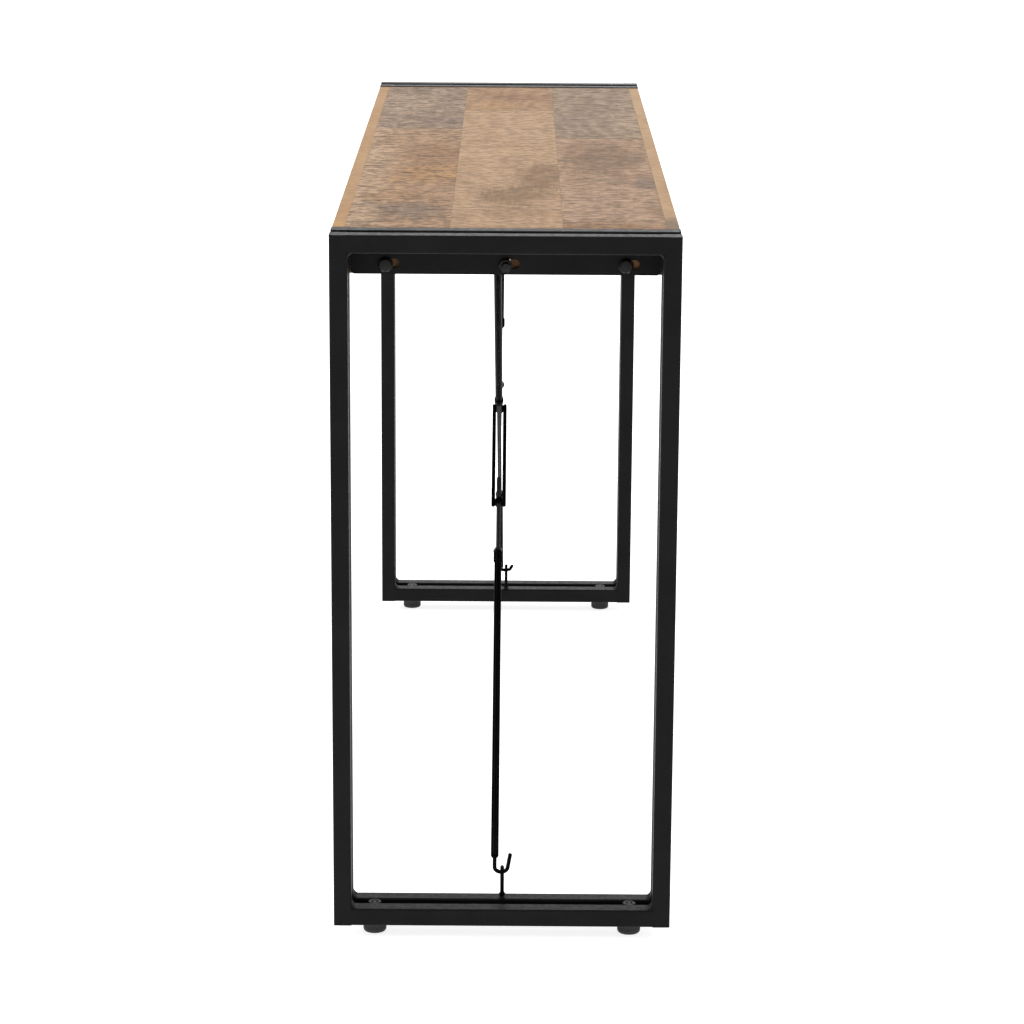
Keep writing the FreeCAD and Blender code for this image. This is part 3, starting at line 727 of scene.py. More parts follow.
@dataclass
class Shell:
    """Points and faces gathered for one piece."""

    points: list[Vector] = field(default_factory=list)
    faces: list[tuple[int, ...]] = field(default_factory=list)

    def loft(
        self,
        rings: Sequence[Sequence[Vector]],
        place: Matrix = Matrix.Identity(4),
        closed: bool = False,
    ) -> None:
        """Skin a row of rings that have the same number of points.

        Args:
            rings: The rings, in order.
            place: Where the skin goes.
            closed: Whether the last ring joins the first one instead of two caps.
        """
        start, count = len(self.points), len(rings[0])
        self.points += [place @ Vector(point) for ring in rings for point in ring]
        pairs = len(rings) if closed else len(rings) - 1
        for row in range(pairs):
            near, far = start + row * count, start + (row + 1) % len(rings) * count
            for step in range(count):
                after = (step + 1) % count
                self.faces.append((near + step, near + after, far + after, far + step))
        if not closed:
            self.faces.append(tuple(range(start + count - 1, start - 1, -1)))
            last = start + (len(rings) - 1) * count
            self.faces.append(tuple(range(last, last + count)))

    def turn(
        self, profile: Iterable[tuple[float, float]], place: Matrix,
        steps: int = 40, closed: bool = False,
    ) -> None:
        """Turn a profile about the Z of a frame.

        Args:
            profile: Pairs of radius and station.
            place: The frame.
            steps: How many points round the axis.
            closed: Whether the profile's last pair joins its first.
        """
        self.loft([ring_at(circle(radius, steps), at) for radius, at in profile], place, closed)

    def thread(
        self, place: Matrix, radius: float, depth: float, pitch: float,
        low: float, high: float, left: bool = False,
    ) -> None:
        """Round bar with a helical thread and chamfered ends.

        Args:
            place: Frame whose Z is the bar's axis.
            radius: Radius over the thread.
            depth: Depth of the thread.
            pitch: Distance between turns.
            low: Station of one end.
            high: Station of the other end.
            left: Left-handed when true.
        """
        steps, rows = 20, 4
        count = max(2, round((high - low) / pitch * rows))
        hand = -1 if left else 1
        rings = []
        for row in range(count + 1):
            station = low + (high - low) * row / count
            root = radius - depth + min(station - low, high - station, depth)

            def reach(step: int, station: float = station, root: float = root) -> float:
                """Radius of a point, down the flank and no more than the end's chamfer."""
                flank = abs(((station / pitch - step / steps * hand) % 1) * 2 - 1)
                return min(radius - depth * flank, root)

            rings.append(polar(steps, station, reach))
        self.loft(rings, place)

    def nut(self, place: Matrix, across: float, tall: float, bore: float) -> None:
        """Hexagon nut with chamfered corners and mouths, its foot on the frame.

        Args:
            place: Frame whose Z is the nut's axis.
            across: Size across flats.
            tall: Height.
            bore: Radius of the bore.
        """
        corner, mouth = across / math.sqrt(3), 0.0005
        edge, face = (corner - across / 2) * 0.55, across / 2 * 0.985
        outer = [(face, 0.0), (corner, edge), (corner, tall - edge), (face, tall)]
        inner = [(bore + mouth, tall), (bore, tall - mouth), (bore, mouth), (bore + mouth, 0.0)]
        rings = [ring_at(hexagon(across, limit), at) for limit, at in outer]
        rings += [ring_at(circle(radius, 48), at) for radius, at in inner]
        self.loft(rings, place, closed=True)

    def piece(
        self, name: str, finish: Finish, body: str = TABLE_BODY,
        nodes: Sequence[str] = (), crease: float = 35.0,
    ) -> bpy.types.Object:
        """Turn what was gathered into a finished piece that rides on a body.

        Args:
            name: Name of the piece.
            finish: Finish that it wears.
            body: CAD body that it rides on.
            nodes: CAD nodes that it stands for.
            crease: Angle in degrees above which an edge stays sharp.

        Returns:
            The new object.
        """
        mesh = bpy.data.meshes.new(name)
        mesh.from_pydata(self.points, [], self.faces)
        mesh.validate()
        mesh.materials.append(finish.material())
        made = bpy.data.objects.new(name, mesh)
        bpy.context.scene.collection.objects.link(made)
        mesh.shade_smooth()
        mesh.set_sharp_from_angle(angle=math.radians(crease))
        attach(made, body)
        if nodes:
            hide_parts(*nodes)
        LOG.info("%s: %d faces, %s", name, len(mesh.polygons), finish.name)
        return made


def dress(node: str, finish: Finish) -> None:
    """Give a CAD node its finish.

    Args:
        node: Name of the CAD node.
        finish: Finish that it wears.
    """
    mesh = frame["nodes"][node].data
    if not mesh.materials:
        mesh.materials.append(finish.material())
    for place in range(len(mesh.materials)):
        mesh.materials[place] = finish.material()
    LOG.info("%s: CAD shape, %s", node, finish.name)


# ------------------------------------------------------------- wooden top


@dataclass(frozen=True)
class Reach:
    """Where a board starts and stops in one direction, and how its edges are eased.

    Attributes:
        low: One end.
        high: The other end.
        ease_low: Radius of the worn edge at the low end.
        ease_high: Radius of the worn edge at the high end.
    """

    low: float
    high: float
    ease_low: float
    ease_high: float

    def stops(self, step: float) -> list[float]:
        """Grid stops, close together where the edges are eased.

        Args:
            step: Largest distance between stops away from the edges.

        Returns:
            The stops in order.
        """
        parts = (0.0, 0.08, 0.3, 0.6, 1.0, 1.8)
        first = [self.low + self.ease_low * part for part in parts]
        last = [self.high - self.ease_high * part for part in reversed(parts)]
        inner = max(1, round((last[0] - first[-1]) / step))
        gap = (last[0] - first[-1]) / inner
        return first + [first[-1] + gap * number for number in range(1, inner)] + last

    def drop(self, at: float) -> float:
        """Drop of the top at a place, down the nearer worn edge.

        Args:
            at: Place in this direction.

        Returns:
            The drop in metres.
        """
        if at - self.low < self.high - at:
            ease, inside = self.ease_low, at - self.low
        else:
            ease, inside = self.ease_high, self.high - at
        inside = min(inside, ease)
        return ease - math.sqrt(max(ease**2 - (ease - inside) ** 2, 0.0))


@dataclass
class Board:
    """One sawn board with eased edges and a slightly ridged top.

    Attributes:
        node: CAD node that it stands for.
        finish: Its wood.
        ease: Radius of the worn edges round the outside of the top.
        tight: Radius of the edges that meet another board.
        swell: How far the wood has swollen into the joints between boards.
        ridge: Height of the saw's ridges.
        step: Distance between grid lines along the board.
    """

    node: str
    finish: MangoWood
    ease: float = 0.0013
    tight: float = 0.0002
    swell: float = 0.00018
    ridge: float = 0.00016
    step: float = 0.0045

    def build(self) -> bpy.types.Object:
        """Build the board inside the box of its CAD node.

        Returns:
            The finished piece.
        """
        low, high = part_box(self.node)
        across = self._reach(low.x, high.x, CAD_BOX[1][0])
        along = self._reach(low.y, high.y, OPEN_END)
        xs, ys = across.stops(0.007), along.stops(self.step)
        shell = Shell()
        random.seed(self.node)
        rows = [random.uniform(0.2, 1.0) for _ in ys]
        for row, y in enumerate(ys):
            for x in xs:
                drop = across.drop(x) + along.drop(y)
                wave = noise.noise(Vector((x * 25, y * 9, self.finish.seed))) * 0.5 + 0.5
                cut = rows[row] * (0.35 + 0.65 * wave) * self.ridge
                depth = min(drop + cut, self.ease)
                shell.points.append(Vector((x, y, high.z - depth)))
        wide, long = len(xs), len(ys)
        for row in range(long - 1):
            for column in range(wide - 1):
                at = row * wide + column
                shell.faces.append((at, at + 1, at + wide + 1, at + wide))
        self._close(shell, wide, long, low.z)
        return shell.piece(f"{self.node}_board", self.finish, nodes=[self.node], crease=50)

    def _reach(self, low: float, high: float, rim: float) -> Reach:
        """Reach of the board in one direction.

        Args:
            low: One end of the CAD node.
            high: Its other end.
            rim: Distance from the middle beyond which an end is on the outside.

        Returns:
            The reach, with tight edges where the board meets another one.
        """
        free_low, free_high = abs(low) > rim - 0.001, abs(high) > rim - 0.001
        return Reach(
            low if free_low else low - self.swell,
            high if free_high else high + self.swell,
            self.ease if free_low else self.tight,
            self.ease if free_high else self.tight,
        )

    def _close(self, shell: Shell, wide: int, long: int, floor: float) -> None:
        """Add the sides and the underside with a small chamfer.

        Args:
            shell: Shell that holds the top.
            wide: How many points the top has across.
            long: How many points it has along.
            floor: Height of the underside.
        """
        rim = list(range(wide))
        rim += [row * wide + wide - 1 for row in range(1, long)]
        rim += [(long - 1) * wide + column for column in range(wide - 2, -1, -1)]
        rim += [row * wide for row in range(long - 2, 0, -1)]
        middle = sum((shell.points[at] for at in rim), Vector()) / len(rim)
        count = len(rim)
        for height, inset in ((floor + 0.0008, 0.0), (floor, 0.0008)):
            start = len(shell.points)
            for at in rim:
                point = shell.points[at]
                inward = Vector((math.copysign(inset, middle.x - point.x),
                                 math.copysign(inset, middle.y - point.y), 0))
                shell.points.append(Vector((point.x, point.y, height)) + inward)
            above = rim if height > floor else list(range(start - count, start))
            for step in range(count):
                after = (step + 1) % count
                shell.faces.append((above[after], above[step], start + step, start + after))
        last = len(shell.points) - count
        shell.faces.append(tuple(range(len(shell.points) - 1, last - 1, -1)))


@dataclass
class WoodenTop:
    """Planks, edge boards, cleats and battens.

    Attributes:
        half_length: Half the length of the planks.
    """

    half_length: float = 0.609

    def finishes(self) -> dict[str, MangoWood]:
        """Wood of each visible board.

        Returns:
            CAD node to its wood.
        """
        ends = self.half_length
        return {
            "left_plank_near": MangoWood(
                "mango_wood_left_near", "plank_wood", light="BA9C7C", middle="A38364",
                line="5E4A3B", seed=1.7, figure=0.55, marks=0.7, worn_ends=ends,
                blotches=(
                    Blotch(-0.160, -0.30, 0.030, 0.55, "C3AA8E", 0.8),
                    Blotch(-0.085, -0.230, 0.055, 0.100, "B68C58", 0.8),
                    Blotch(-0.078, -0.060, 0.050, 0.110, "9A7450", 0.75),
                    Blotch(-0.102, -0.490, 0.045, 0.070, "887565", 0.85),
                    Blotch(-0.120, -0.390, 0.05, 0.05, "A98258", 0.5),
                )),
            "left_plank_far": MangoWood(
                "mango_wood_left_far", "plank_wood", light="AE9A85", middle="937C68",
                line="57483C", seed=4.2, figure=0.45, marks=0.75, worn_ends=ends,
                blotches=(
                    Blotch(-0.080, 0.24, 0.050, 0.060, "8C7A6F", 0.7),
                    Blotch(-0.140, 0.42, 0.045, 0.120, "B7A18A", 0.6),
                )),
            "middle_plank_near": MangoWood(
                "mango_wood_middle_near", "plank_wood", light="C4A787", middle="B19270",
                line="75604B", seed=7.9, figure=0.5, marks=0.45, worn_ends=ends,
                blotches=(
                    Blotch(0.044, -0.240, 0.034, 0.110, "87694B", 0.85),
                    Blotch(0.012, -0.385, 0.050, 0.085, "86694B", 0.85),
                    Blotch(0.040, -0.430, 0.020, 0.028, "C2A283", 0.8),
                    Blotch(0.010, -0.505, 0.050, 0.040, "97795A", 0.55),
                )),
            "middle_plank_far": MangoWood(
                "mango_wood_middle_far", "plank_wood", light="BC9D7B", middle="A27F5F",
                line="614A39", seed=11.3, figure=0.7, marks=0.45, worn_ends=ends,
                blotches=(
                    Blotch(0.010, 0.500, 0.070, 0.070, "9A7153", 0.7),
                    Blotch(-0.020, 0.410, 0.045, 0.050, "BB9360", 0.6),
                )),
            "right_plank_near": MangoWood(
                "mango_wood_right_near", "plank_wood", light="BA9E84", middle="A28469",
                line="604B3C", seed=13.4, figure=0.75, marks=0.55, worn_ends=ends,
                blotches=(
                    Blotch(0.112, -0.090, 0.055, 0.150, "856A50", 0.85),
                    Blotch(0.160, -0.290, 0.022, 0.045, "7C695B", 0.8),
                    Blotch(0.105, -0.430, 0.060, 0.120, "BC9F87", 0.55),
                    Blotch(0.110, -0.605, 0.120, 0.045, "9A774F", 0.9),
                )),
            "right_plank_far": MangoWood(
                "mango_wood_right_far", "plank_wood", light="AD9A84", middle="957E69",
                line="5A4A3D", seed=17.1, figure=0.7, marks=0.6, worn_ends=ends,
                blotches=(
                    Blotch(0.080, 0.270, 0.050, 0.100, "8E7D70", 0.55),
                    Blotch(0.155, 0.330, 0.030, 0.200, "B6A28A", 0.6),
                )),
            "left_edge_board": MangoWood(
                "mango_wood_left_edge", "edge_wood", light="C6A67F", middle="B59169",
                line="8B6A49", seed=21.5, figure=0.35, marks=0.15, worn_ends=ends,
                blotches=(Blotch(-0.174, -0.600, 0.03, 0.060, "CFA46B", 0.8),)),
            "right_edge_board": MangoWood(
                "mango_wood_right_edge", "edge_wood", light="C9AB87", middle="B89773",
                line="8B6A49", seed=23.8, figure=0.35, marks=0.15, worn_ends=ends,
                blotches=(Blotch(0.174, -0.610, 0.06, 0.100, "857361", 1.0),)),
        }

    def build(self) -> None:
        """Build every board and dress the hidden cross pieces."""
        for node, finish in self.finishes().items():
            Board(node, finish).build()
        rough_wood = MangoWood(
            "rough_mango_wood", "batten_wood", light="A98760", middle="8F6D49",
            line="5C452F", seed=31.0, figure=0.5, marks=0.6,
        )
        for end in End:
            for part in ("cleat", "batten"):
                dress(f"{end.name.lower()}_{part}", rough_wood)


# -------------------------------------------------------------- end frames


@dataclass
class EndFrame:
    """One welded end frame: two rings of tube, their webs and the plate.

    Attributes:
        end: Which end of the table it is.
    """

    end: End

    def build(self) -> None:
        """Dress the tubes, the webs and the mounting plate."""
        name = self.end.name.lower()
        for ring in ("outer", "inner"):
            for part in ("left_leg", "right_leg", "bottom_rail", "top_rail"):
                dress(f"{name}_{ring}_{part}", FRAME_COAT)
        dress(f"{name}_groove_webs", FRAME_COAT)
        dress(f"{name}_mounting_plate", FRAME_COAT)


@dataclass
class GroundJoints:
    """Weld ground flush where the tubes meet, which hides their rounded edges.

    Attributes:
        edge: Radius of the tubes' edges.
    """

    edge: float = 0.002

    def build(self) -> None:
        """Fill the valley on both faces of each corner of each ring."""
        shell = Shell()
        for end in End:
            for ring in ("outer", "inner"):
                for side in Side:
                    for rail in ("bottom_rail", "top_rail"):
                        name = f"{end.name.lower()}_{ring}"
                        self._corner(shell, f"{name}_{side.name.lower()}_leg", f"{name}_{rail}")
        shell.piece("ground_joint_fill", FRAME_COAT)

    def _corner(self, shell: Shell, leg: str, rail: str) -> None:
        """Add the two strips of one corner.

        Args:
            shell: Shell that takes them.
            leg: CAD node of the leg.
            rail: CAD node of the rail.
        """
        leg_low, leg_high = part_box(leg)
        rail_low, rail_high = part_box(rail)
        left = leg_high.x < 0
        joint = leg_high.x if left else leg_low.x
        xs = (joint - self.edge, joint) if left else (joint, joint + self.edge)
        zs = (rail_low.z + self.edge * 0.5, rail_high.z - self.edge * 0.5)
        for ys in ((leg_low.y, leg_low.y + self.edge), (leg_high.y - self.edge, leg_high.y)):
            rings = [[Vector((xs[0], ys[0], z)), Vector((xs[1], ys[0], z)),
                      Vector((xs[1], ys[1], z)), Vector((xs[0], ys[1], z))] for z in zs]
            shell.loft(rings)


@dataclass
class WeldBeads:
    """Painted weld beads in the frames' corners, beside the plates and at the staples.

    Attributes:
        ripple: Distance between the ripples of a bead.
        lump: Height of the ripples.
        arc: Steps round the face of a bead.
        split: Height between the bottom corners and the top ones.
    """

    ripple: float = 0.0028
    lump: float = 0.0005
    arc: int = 8
    split: float = 0.3

    def build(self) -> None:
        """Build each bead in the box of its CAD solid."""
        shell = Shell()
        for box in solids("frame_weld_beads"):
            size = box.high - box.low
            if size.z > size.y:
                self._plate_bead(shell, box)
            else:
                self._corner_bead(shell, box)
        for box in solids("bottom_rail_staples"):
            self._staple_bead(shell, box)
        shell.piece("frame_weld_beads_rippled", FRAME_COAT, nodes=["frame_weld_beads"])

    def _corner_bead(self, shell: Shell, box: Box) -> None:
        """Concave, rippled fillet along Y between a rail and a leg.

        Args:
            shell: Shell that takes it.
            box: Box of the CAD fillet.
        """
        out_x = math.copysign(1.0, box.middle.x)
        out_z = math.copysign(1.0, box.middle.z - self.split)
        corner_x = box.high.x if out_x > 0 else box.low.x
        corner_z = box.high.z if out_z > 0 else box.low.z
        leg = box.high.x - box.low.x
        rows = max(6, round((box.high.y - box.low.y) / self.ripple * 6))
        rings = []
        for row in range(rows + 1):
            y = box.low.y + (box.high.y - box.low.y) * row / rows
            worn = noise.noise(Vector((corner_x * 40, y * 260, corner_z * 40)))
            swell = self.lump * (abs(math.sin(math.pi * y / self.ripple)) + worn)
            taper = min(1.0, 4 * min(row, rows - row) / rows + 0.35)
            ring = [Vector((corner_x, y, corner_z))]
            for step in range(self.arc + 1):
                angle = math.pi / 2 * step / self.arc
                reach = leg * taper
                hollow = 1 - swell / leg * math.sin(2 * angle)
                x = corner_x - out_x * reach * (1 - hollow * math.sin(angle))
                z = corner_z - out_z * reach * (1 - hollow * math.cos(angle))
                ring.append(Vector((x, y, z)))
            rings.append(ring if out_x * out_z < 0 else [ring[0], *reversed(ring[1:])])
        shell.loft(rings)

    def _plate_bead(self, shell: Shell, box: Box) -> None:
        """Convex, rippled bead that stands in the corner of a plate and a leg.

        Args:
            shell: Shell that takes it.
            box: Box of the CAD bead.
        """
        size = box.high - box.low
        inward = Vector((-math.copysign(1.0, box.middle.x), math.copysign(1.0, box.middle.y), 0))
        corner = Vector((box.high.x if inward.x < 0 else box.low.x,
                         box.low.y if inward.y > 0 else box.high.y, box.low.z))
        rows = round(size.z / self.ripple * 6)
        rings = []
        for row in range(rows + 1):
            height = size.z * row / rows
            swell = 0.82 + 0.18 * abs(math.sin(math.pi * height / self.ripple))
            taper = math.sqrt(min(1.0, 6 * min(row + 0.5, rows - row + 0.5) / rows))
            ring = [corner + Vector((0, 0, height))]
            for step in range(self.arc + 1):
                angle = math.pi / 2 * step / self.arc
                reach = size.x * swell * taper
                ring.append(corner + Vector((inward.x * reach * math.cos(angle),
                                             inward.y * reach * math.sin(angle), height)))
            rings.append(ring)
        shell.loft(rings)

    def _staple_bead(self, shell: Shell, box: Box) -> None:
        """Small ring of weld round each foot of a staple.

        Args:
            shell: Shell that takes it.
            box: Box of the staple.
        """
        wire = (box.high.x - box.low.x) / 2
        steps = 24
        for y in (box.low.y + wire, box.high.y - wire):
            place = Matrix.Translation((box.middle.x, y, box.low.z))

            def reach(step: int, out: float, y: float = y) -> float:
                """Uneven radius of the bead at a point, from its share of the wire's."""
                rough = 1 + 0.1 * math.sin(5 * TURN * step / steps + y * 900)
                return wire * (1 + (out - 1) * rough)

            profile = ((1.85, 0.0), (1.7, 0.35), (1.35, 0.75), (1.06, 1.25), (0.9, 1.3))
            shell.loft([polar(steps, wire * up, lambda step, out=out: reach(step, out))
                        for out, up in profile], place)


# --------------------------------------------------------------- fasteners


@dataclass
class Fasteners:
    """Bolts, nuts, eye bolts and screws.

    Attributes:
        pitch: Thread pitch of the M8 parts.
        depth: Thread depth of the M8 parts.
        radius: Radius over the M8 thread.
        across: M8 hexagon across flats.
        eye_wire: Radius of the wire in an eye bolt's ring.
        lag_pitch: Pitch of the lag bolts' wood thread.
        lag_depth: Depth of that thread.
        flange: Radius of the flange under a lag bolt's head.
        screw_radius: Radius over the screws' thread.
        screw_depth: Depth of that thread.
        screw_pitch: Pitch of that thread.
    """

    pitch: float = 0.00125
    depth: float = 0.0007
    radius: float = 0.0039
    across: float = 0.0128
    eye_wire: float = 0.0025
    lag_pitch: float = 0.0032
    lag_depth: float = 0.0011
    flange: float = 0.0080
    screw_radius: float = 0.0020
    screw_depth: float = 0.0006
    screw_pitch: float = 0.0018

    def build(self) -> None:
        """Build the four kinds of fastener."""
        self._lag_bolts()
        self._eye_bolts()
        self._nuts()
        self._screws()

    def _lag_bolts(self) -> None:
        """Flanged hexagon bolts with a coarse wood thread."""
        shell = Shell()
        for box in solids("top_lag_bolts"):
            inward = -math.copysign(1.0, box.middle.y)
            head = box.low.y if inward > 0 else box.high.y
            place = axis_frame(Vector((box.middle.x, head, box.middle.z)), Vector((0, inward, 0)))
            corner = self.across / math.sqrt(3)
            sides = [(self.across / 2 * 0.86, 0.0), (self.across / 2 * 0.96, 0.0002),
                     (corner, 0.0015), (corner, 0.0062)]
            shell.loft([ring_at(hexagon(self.across, limit), at) for limit, at in sides], place)
            shell.turn([(self.flange - 0.0009, 0.0056), (self.flange - 0.0001, 0.0062),
                        (self.flange, 0.0068), (self.flange, 0.0075)], place)
            long = box.high.y - box.low.y
            shell.thread(place, self.radius, self.lag_depth, self.lag_pitch, 0.0074,
                         long - 0.004)
            shell.turn([(self.radius - self.lag_depth, long - 0.0045), (0.0019, long - 0.002),
                        (0.0004, long)], place, 20)
        shell.piece("top_lag_bolts_threaded", BLACK_OXIDE, nodes=["top_lag_bolts"])

    def _eye_bolts(self) -> None:
        """Eye bolts: a forged ring, a swelling neck and a threaded shank."""
        shell = Shell()
        for box in solids("brace_eye_bolts"):
            outward = math.copysign(1.0, box.middle.y)
            tall = (box.high.z - box.low.z) / 2
            wire = self.eye_wire
            bend = tall - wire
            ring_y = box.low.y + tall if outward > 0 else box.high.y - tall
            centre = Vector((0, ring_y, box.middle.z))
            rings = []
            for step in range(48):
                angle = TURN * step / 48
                out = Vector((0, math.cos(angle), math.sin(angle)))
                rings.append([centre + out * (bend + x) + Vector((y, 0, 0))
                              for x, y in circle(wire, 16)])
            shell.loft(rings, closed=True)
            tip = box.high.y if outward > 0 else box.low.y
            place = axis_frame(centre, Vector((0, outward, 0)))
            reach = abs(tip - ring_y)
            shell.turn([(0.0022, bend - 0.001), (0.0029, bend + 0.001), (0.0037, bend + 0.0032),
                        (0.0038, bend + 0.0045)], place, 24)
            shell.thread(place, self.radius, self.depth, self.pitch, bend + 0.0044, reach)
        shell.piece("brace_eye_bolts_threaded", BLACK_OXIDE, nodes=["brace_eye_bolts"])

    def _nuts(self) -> None:
        """Nuts on the eye bolts and over the feet."""
        shell = Shell()
        for box in solids("m8_nuts"):
            size = box.high - box.low
            if size.y < size.z:
                place = axis_frame(Vector((box.middle.x, box.low.y, box.middle.z)),
                                   Vector((0, 1, 0)))
                tall = size.y
            else:
                place = axis_frame(Vector((box.middle.x, box.middle.y, box.low.z)),
                                   Vector((0, 0, 1)))
                tall = size.z
            shell.nut(place, self.across, tall, self.radius + 0.00006)
        shell.piece("m8_nuts_chamfered", BLACK_OXIDE, nodes=["m8_nuts"])

    def _screws(self) -> None:
        """Countersunk screws with a cross recess, heads down."""
        shell = Shell()
        for box in solids("batten_screws"):
            place = Matrix.Translation((box.middle.x, box.middle.y, box.low.z))
            tall = box.high.z - box.low.z
            self._cross_head(shell, place)
            shell.thread(place, self.screw_radius, self.screw_depth, self.screw_pitch, 0.0026,
                         tall - 0.003)
            shell.turn([(self.screw_radius - self.screw_depth, tall - 0.0032),
                        (0.0010, tall - 0.0015), (0.0002, tall)],
                       place, 16)
        shell.piece("batten_screws_crosshead", ZINC_PLATE, nodes=["batten_screws"])

    @staticmethod
    def _cross_head(shell: Shell, place: Matrix) -> None:
        """Conical head whose face has a cross pressed into it.

        Args:
            shell: Shell that takes it.
            place: Frame whose Z runs into the wood.
        """
        steps = 48
        rings = []
        for radius in (0.0002, 0.0008, 0.0014, 0.0020, 0.0024, 0.0030, 0.0039):
            ring = []
            for step in range(steps):
                angle = TURN * step / steps
                arm = abs(((angle / (TURN / 4)) + 0.5) % 1 - 0.5) * (TURN / 4)
                inside = radius * math.sin(min(arm, math.pi / 2)) < 0.00055 and radius < 0.0023
                deep = 0.0015 * (1 - radius / 0.0030) if inside else 0.0
                ring.append(Vector((radius * math.cos(angle), radius * math.sin(angle), deep)))
            rings.append(ring)
        cone = ((0.0040, 0.0002), (0.0021, 0.0026), (0.0014, 0.0030))
        rings += [ring_at(circle(radius, steps), at) for radius, at in cone]
        shell.loft(rings, place)


# -------------------------------------------------------------- tie rods


@dataclass
class TieRods:
    """Crossed tie rods with their hooks, tubes, threaded bars and nuts.

    Attributes:
        pitch: Thread pitch of the thin bars.
        depth: Thread depth of the thin bars.
        radius: Radius over their thread.
        lock_across: Lock nut across flats.
        bar: Radius of a turnbuckle bar.
        end_across: Turnbuckle end nut across flats.
        end_tall: Height of that nut.
        end_inset: Its distance from the ends of the bars.
        fit: Radial clearance of a bore round a thread.
    """

    pitch: float = 0.001
    depth: float = 0.00045
    radius: float = 0.0027
    lock_across: float = 0.010
    bar: float = 0.0023
    end_across: float = 0.009
    end_tall: float = 0.009
    end_inset: float = 0.002
    fit: float = 0.00006

    def build(self) -> None:
        """Dress hooks and tubes, and build threads, lock nuts and turnbuckle."""
        turn = next(j for j in frame["joints"] if j["name"] == "turnbuckle_turn")
        origin, axis = Vector(turn["pos_m"]), Vector(turn["axis"])
        place = axis_frame(origin, axis)
        for part in ("lower", "upper"):
            for rod in "ab":
                dress(f"brace_{rod}_{part}_hook", ROD_LACQUER)
                dress(f"brace_{rod}_{part}_tube", ROD_LACQUER)
            body = f"{part}_rod"
            self._threaded(f"brace_a_{part}_stud", place, origin, axis, body, part == "lower")
            low, high = span(f"brace_a_{part}_nut", origin, axis)
            shell = Shell()
            shell.nut(place @ Matrix.Translation((0, 0, low)), self.lock_across, high - low,
                      self.radius + self.fit)
            shell.piece(f"brace_a_{part}_nut_chamfered", BLACK_OXIDE, body,
                        [f"brace_a_{part}_nut"])
        low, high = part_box("brace_b_rod")
        mirrored = Vector((0, axis.y, -axis.z))
        middle = (low + high) / 2
        self._threaded("brace_b_rod", axis_frame(middle, mirrored), middle, mirrored,
                       TABLE_BODY, False)
        dress("bottom_rail_staples", ROD_LACQUER)
        self._turnbuckle(place, origin, axis)

    def _threaded(
        self, node: str, place: Matrix, origin: Vector, axis: Vector, body: str, left: bool
    ) -> None:
        """Threaded bar in the place of a CAD node.

        Args:
            node: CAD node that it stands for.
            place: Frame whose Z is the bar's axis.
            origin: Origin of that frame.
            axis: Axis of that frame.
            body: CAD body that it rides on.
            left: Whether the thread is left-handed.
        """
        low, high = span(node, origin, axis)
        shell = Shell()
        shell.thread(place, self.radius, self.depth, self.pitch, low, high, left)
        shell.piece(f"{node}_threaded", BLACK_THREAD, body, [node])

    def _turnbuckle(self, place: Matrix, origin: Vector, axis: Vector) -> None:
        """Two round bars welded to a nut at each end.

        Args:
            place: Frame whose Z is the rod's axis.
            origin: Origin of that frame.
            axis: Axis of that frame.
        """
        low, high = span("turnbuckle", origin, axis)
        box_low, box_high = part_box("turnbuckle")
        bar, tall, inset = self.bar, self.end_tall, self.end_inset
        reach = (box_high.x - box_low.x) / 2 - bar
        shell = Shell()
        for sign in (-1, 1):
            side = place @ Matrix.Translation((sign * reach, 0, 0))
            shell.turn([(bar - 0.0006, low), (bar, low + 0.0006), (bar, high - 0.0006),
                        (bar - 0.0006, high)], side, 24)
        for start in (low + inset, high - inset - tall):
            shell.nut(place @ Matrix.Translation((0, 0, start)), self.end_across, tall,
                      self.radius + self.fit)
            self._bar_welds(shell, place, start, tall, reach - 0.0012)
        shell.piece("turnbuckle_welded", ROD_LACQUER, "turnbuckle", ["turnbuckle"])

    @staticmethod
    def _bar_welds(shell: Shell, place: Matrix, start: float, tall: float, reach: float) -> None:
        """Small rippled beads on both faces between a nut and the bars.

        Args:
            shell: Shell that takes them.
            place: Frame whose Z is the rod's axis.
            start: Station where the nut starts.
            tall: Height of the nut.
            reach: Distance of the beads from the axis.
        """
        rows = 22
        for sign_x in (-1, 1):
            for sign_y in (-1, 1):
                rings = []
                for row in range(rows + 1):
                    station = start + 0.0008 + (tall - 0.0016) * row / rows
                    swell = 0.75 + 0.25 * abs(math.sin(math.pi * station / 0.0018))
                    taper = math.sqrt(min(1.0, 8 * min(row + 0.4, rows - row + 0.4) / rows))
                    size = 0.0011 * swell * taper
                    centre = Vector((sign_x * (reach - 0.0012), sign_y * 0.0019, station))
                    rings.append([centre + Vector((x, y, 0)) for x, y in circle(size, 12)])
                shell.loft(rings, place)


# ------------------------------------------------------------------- feet


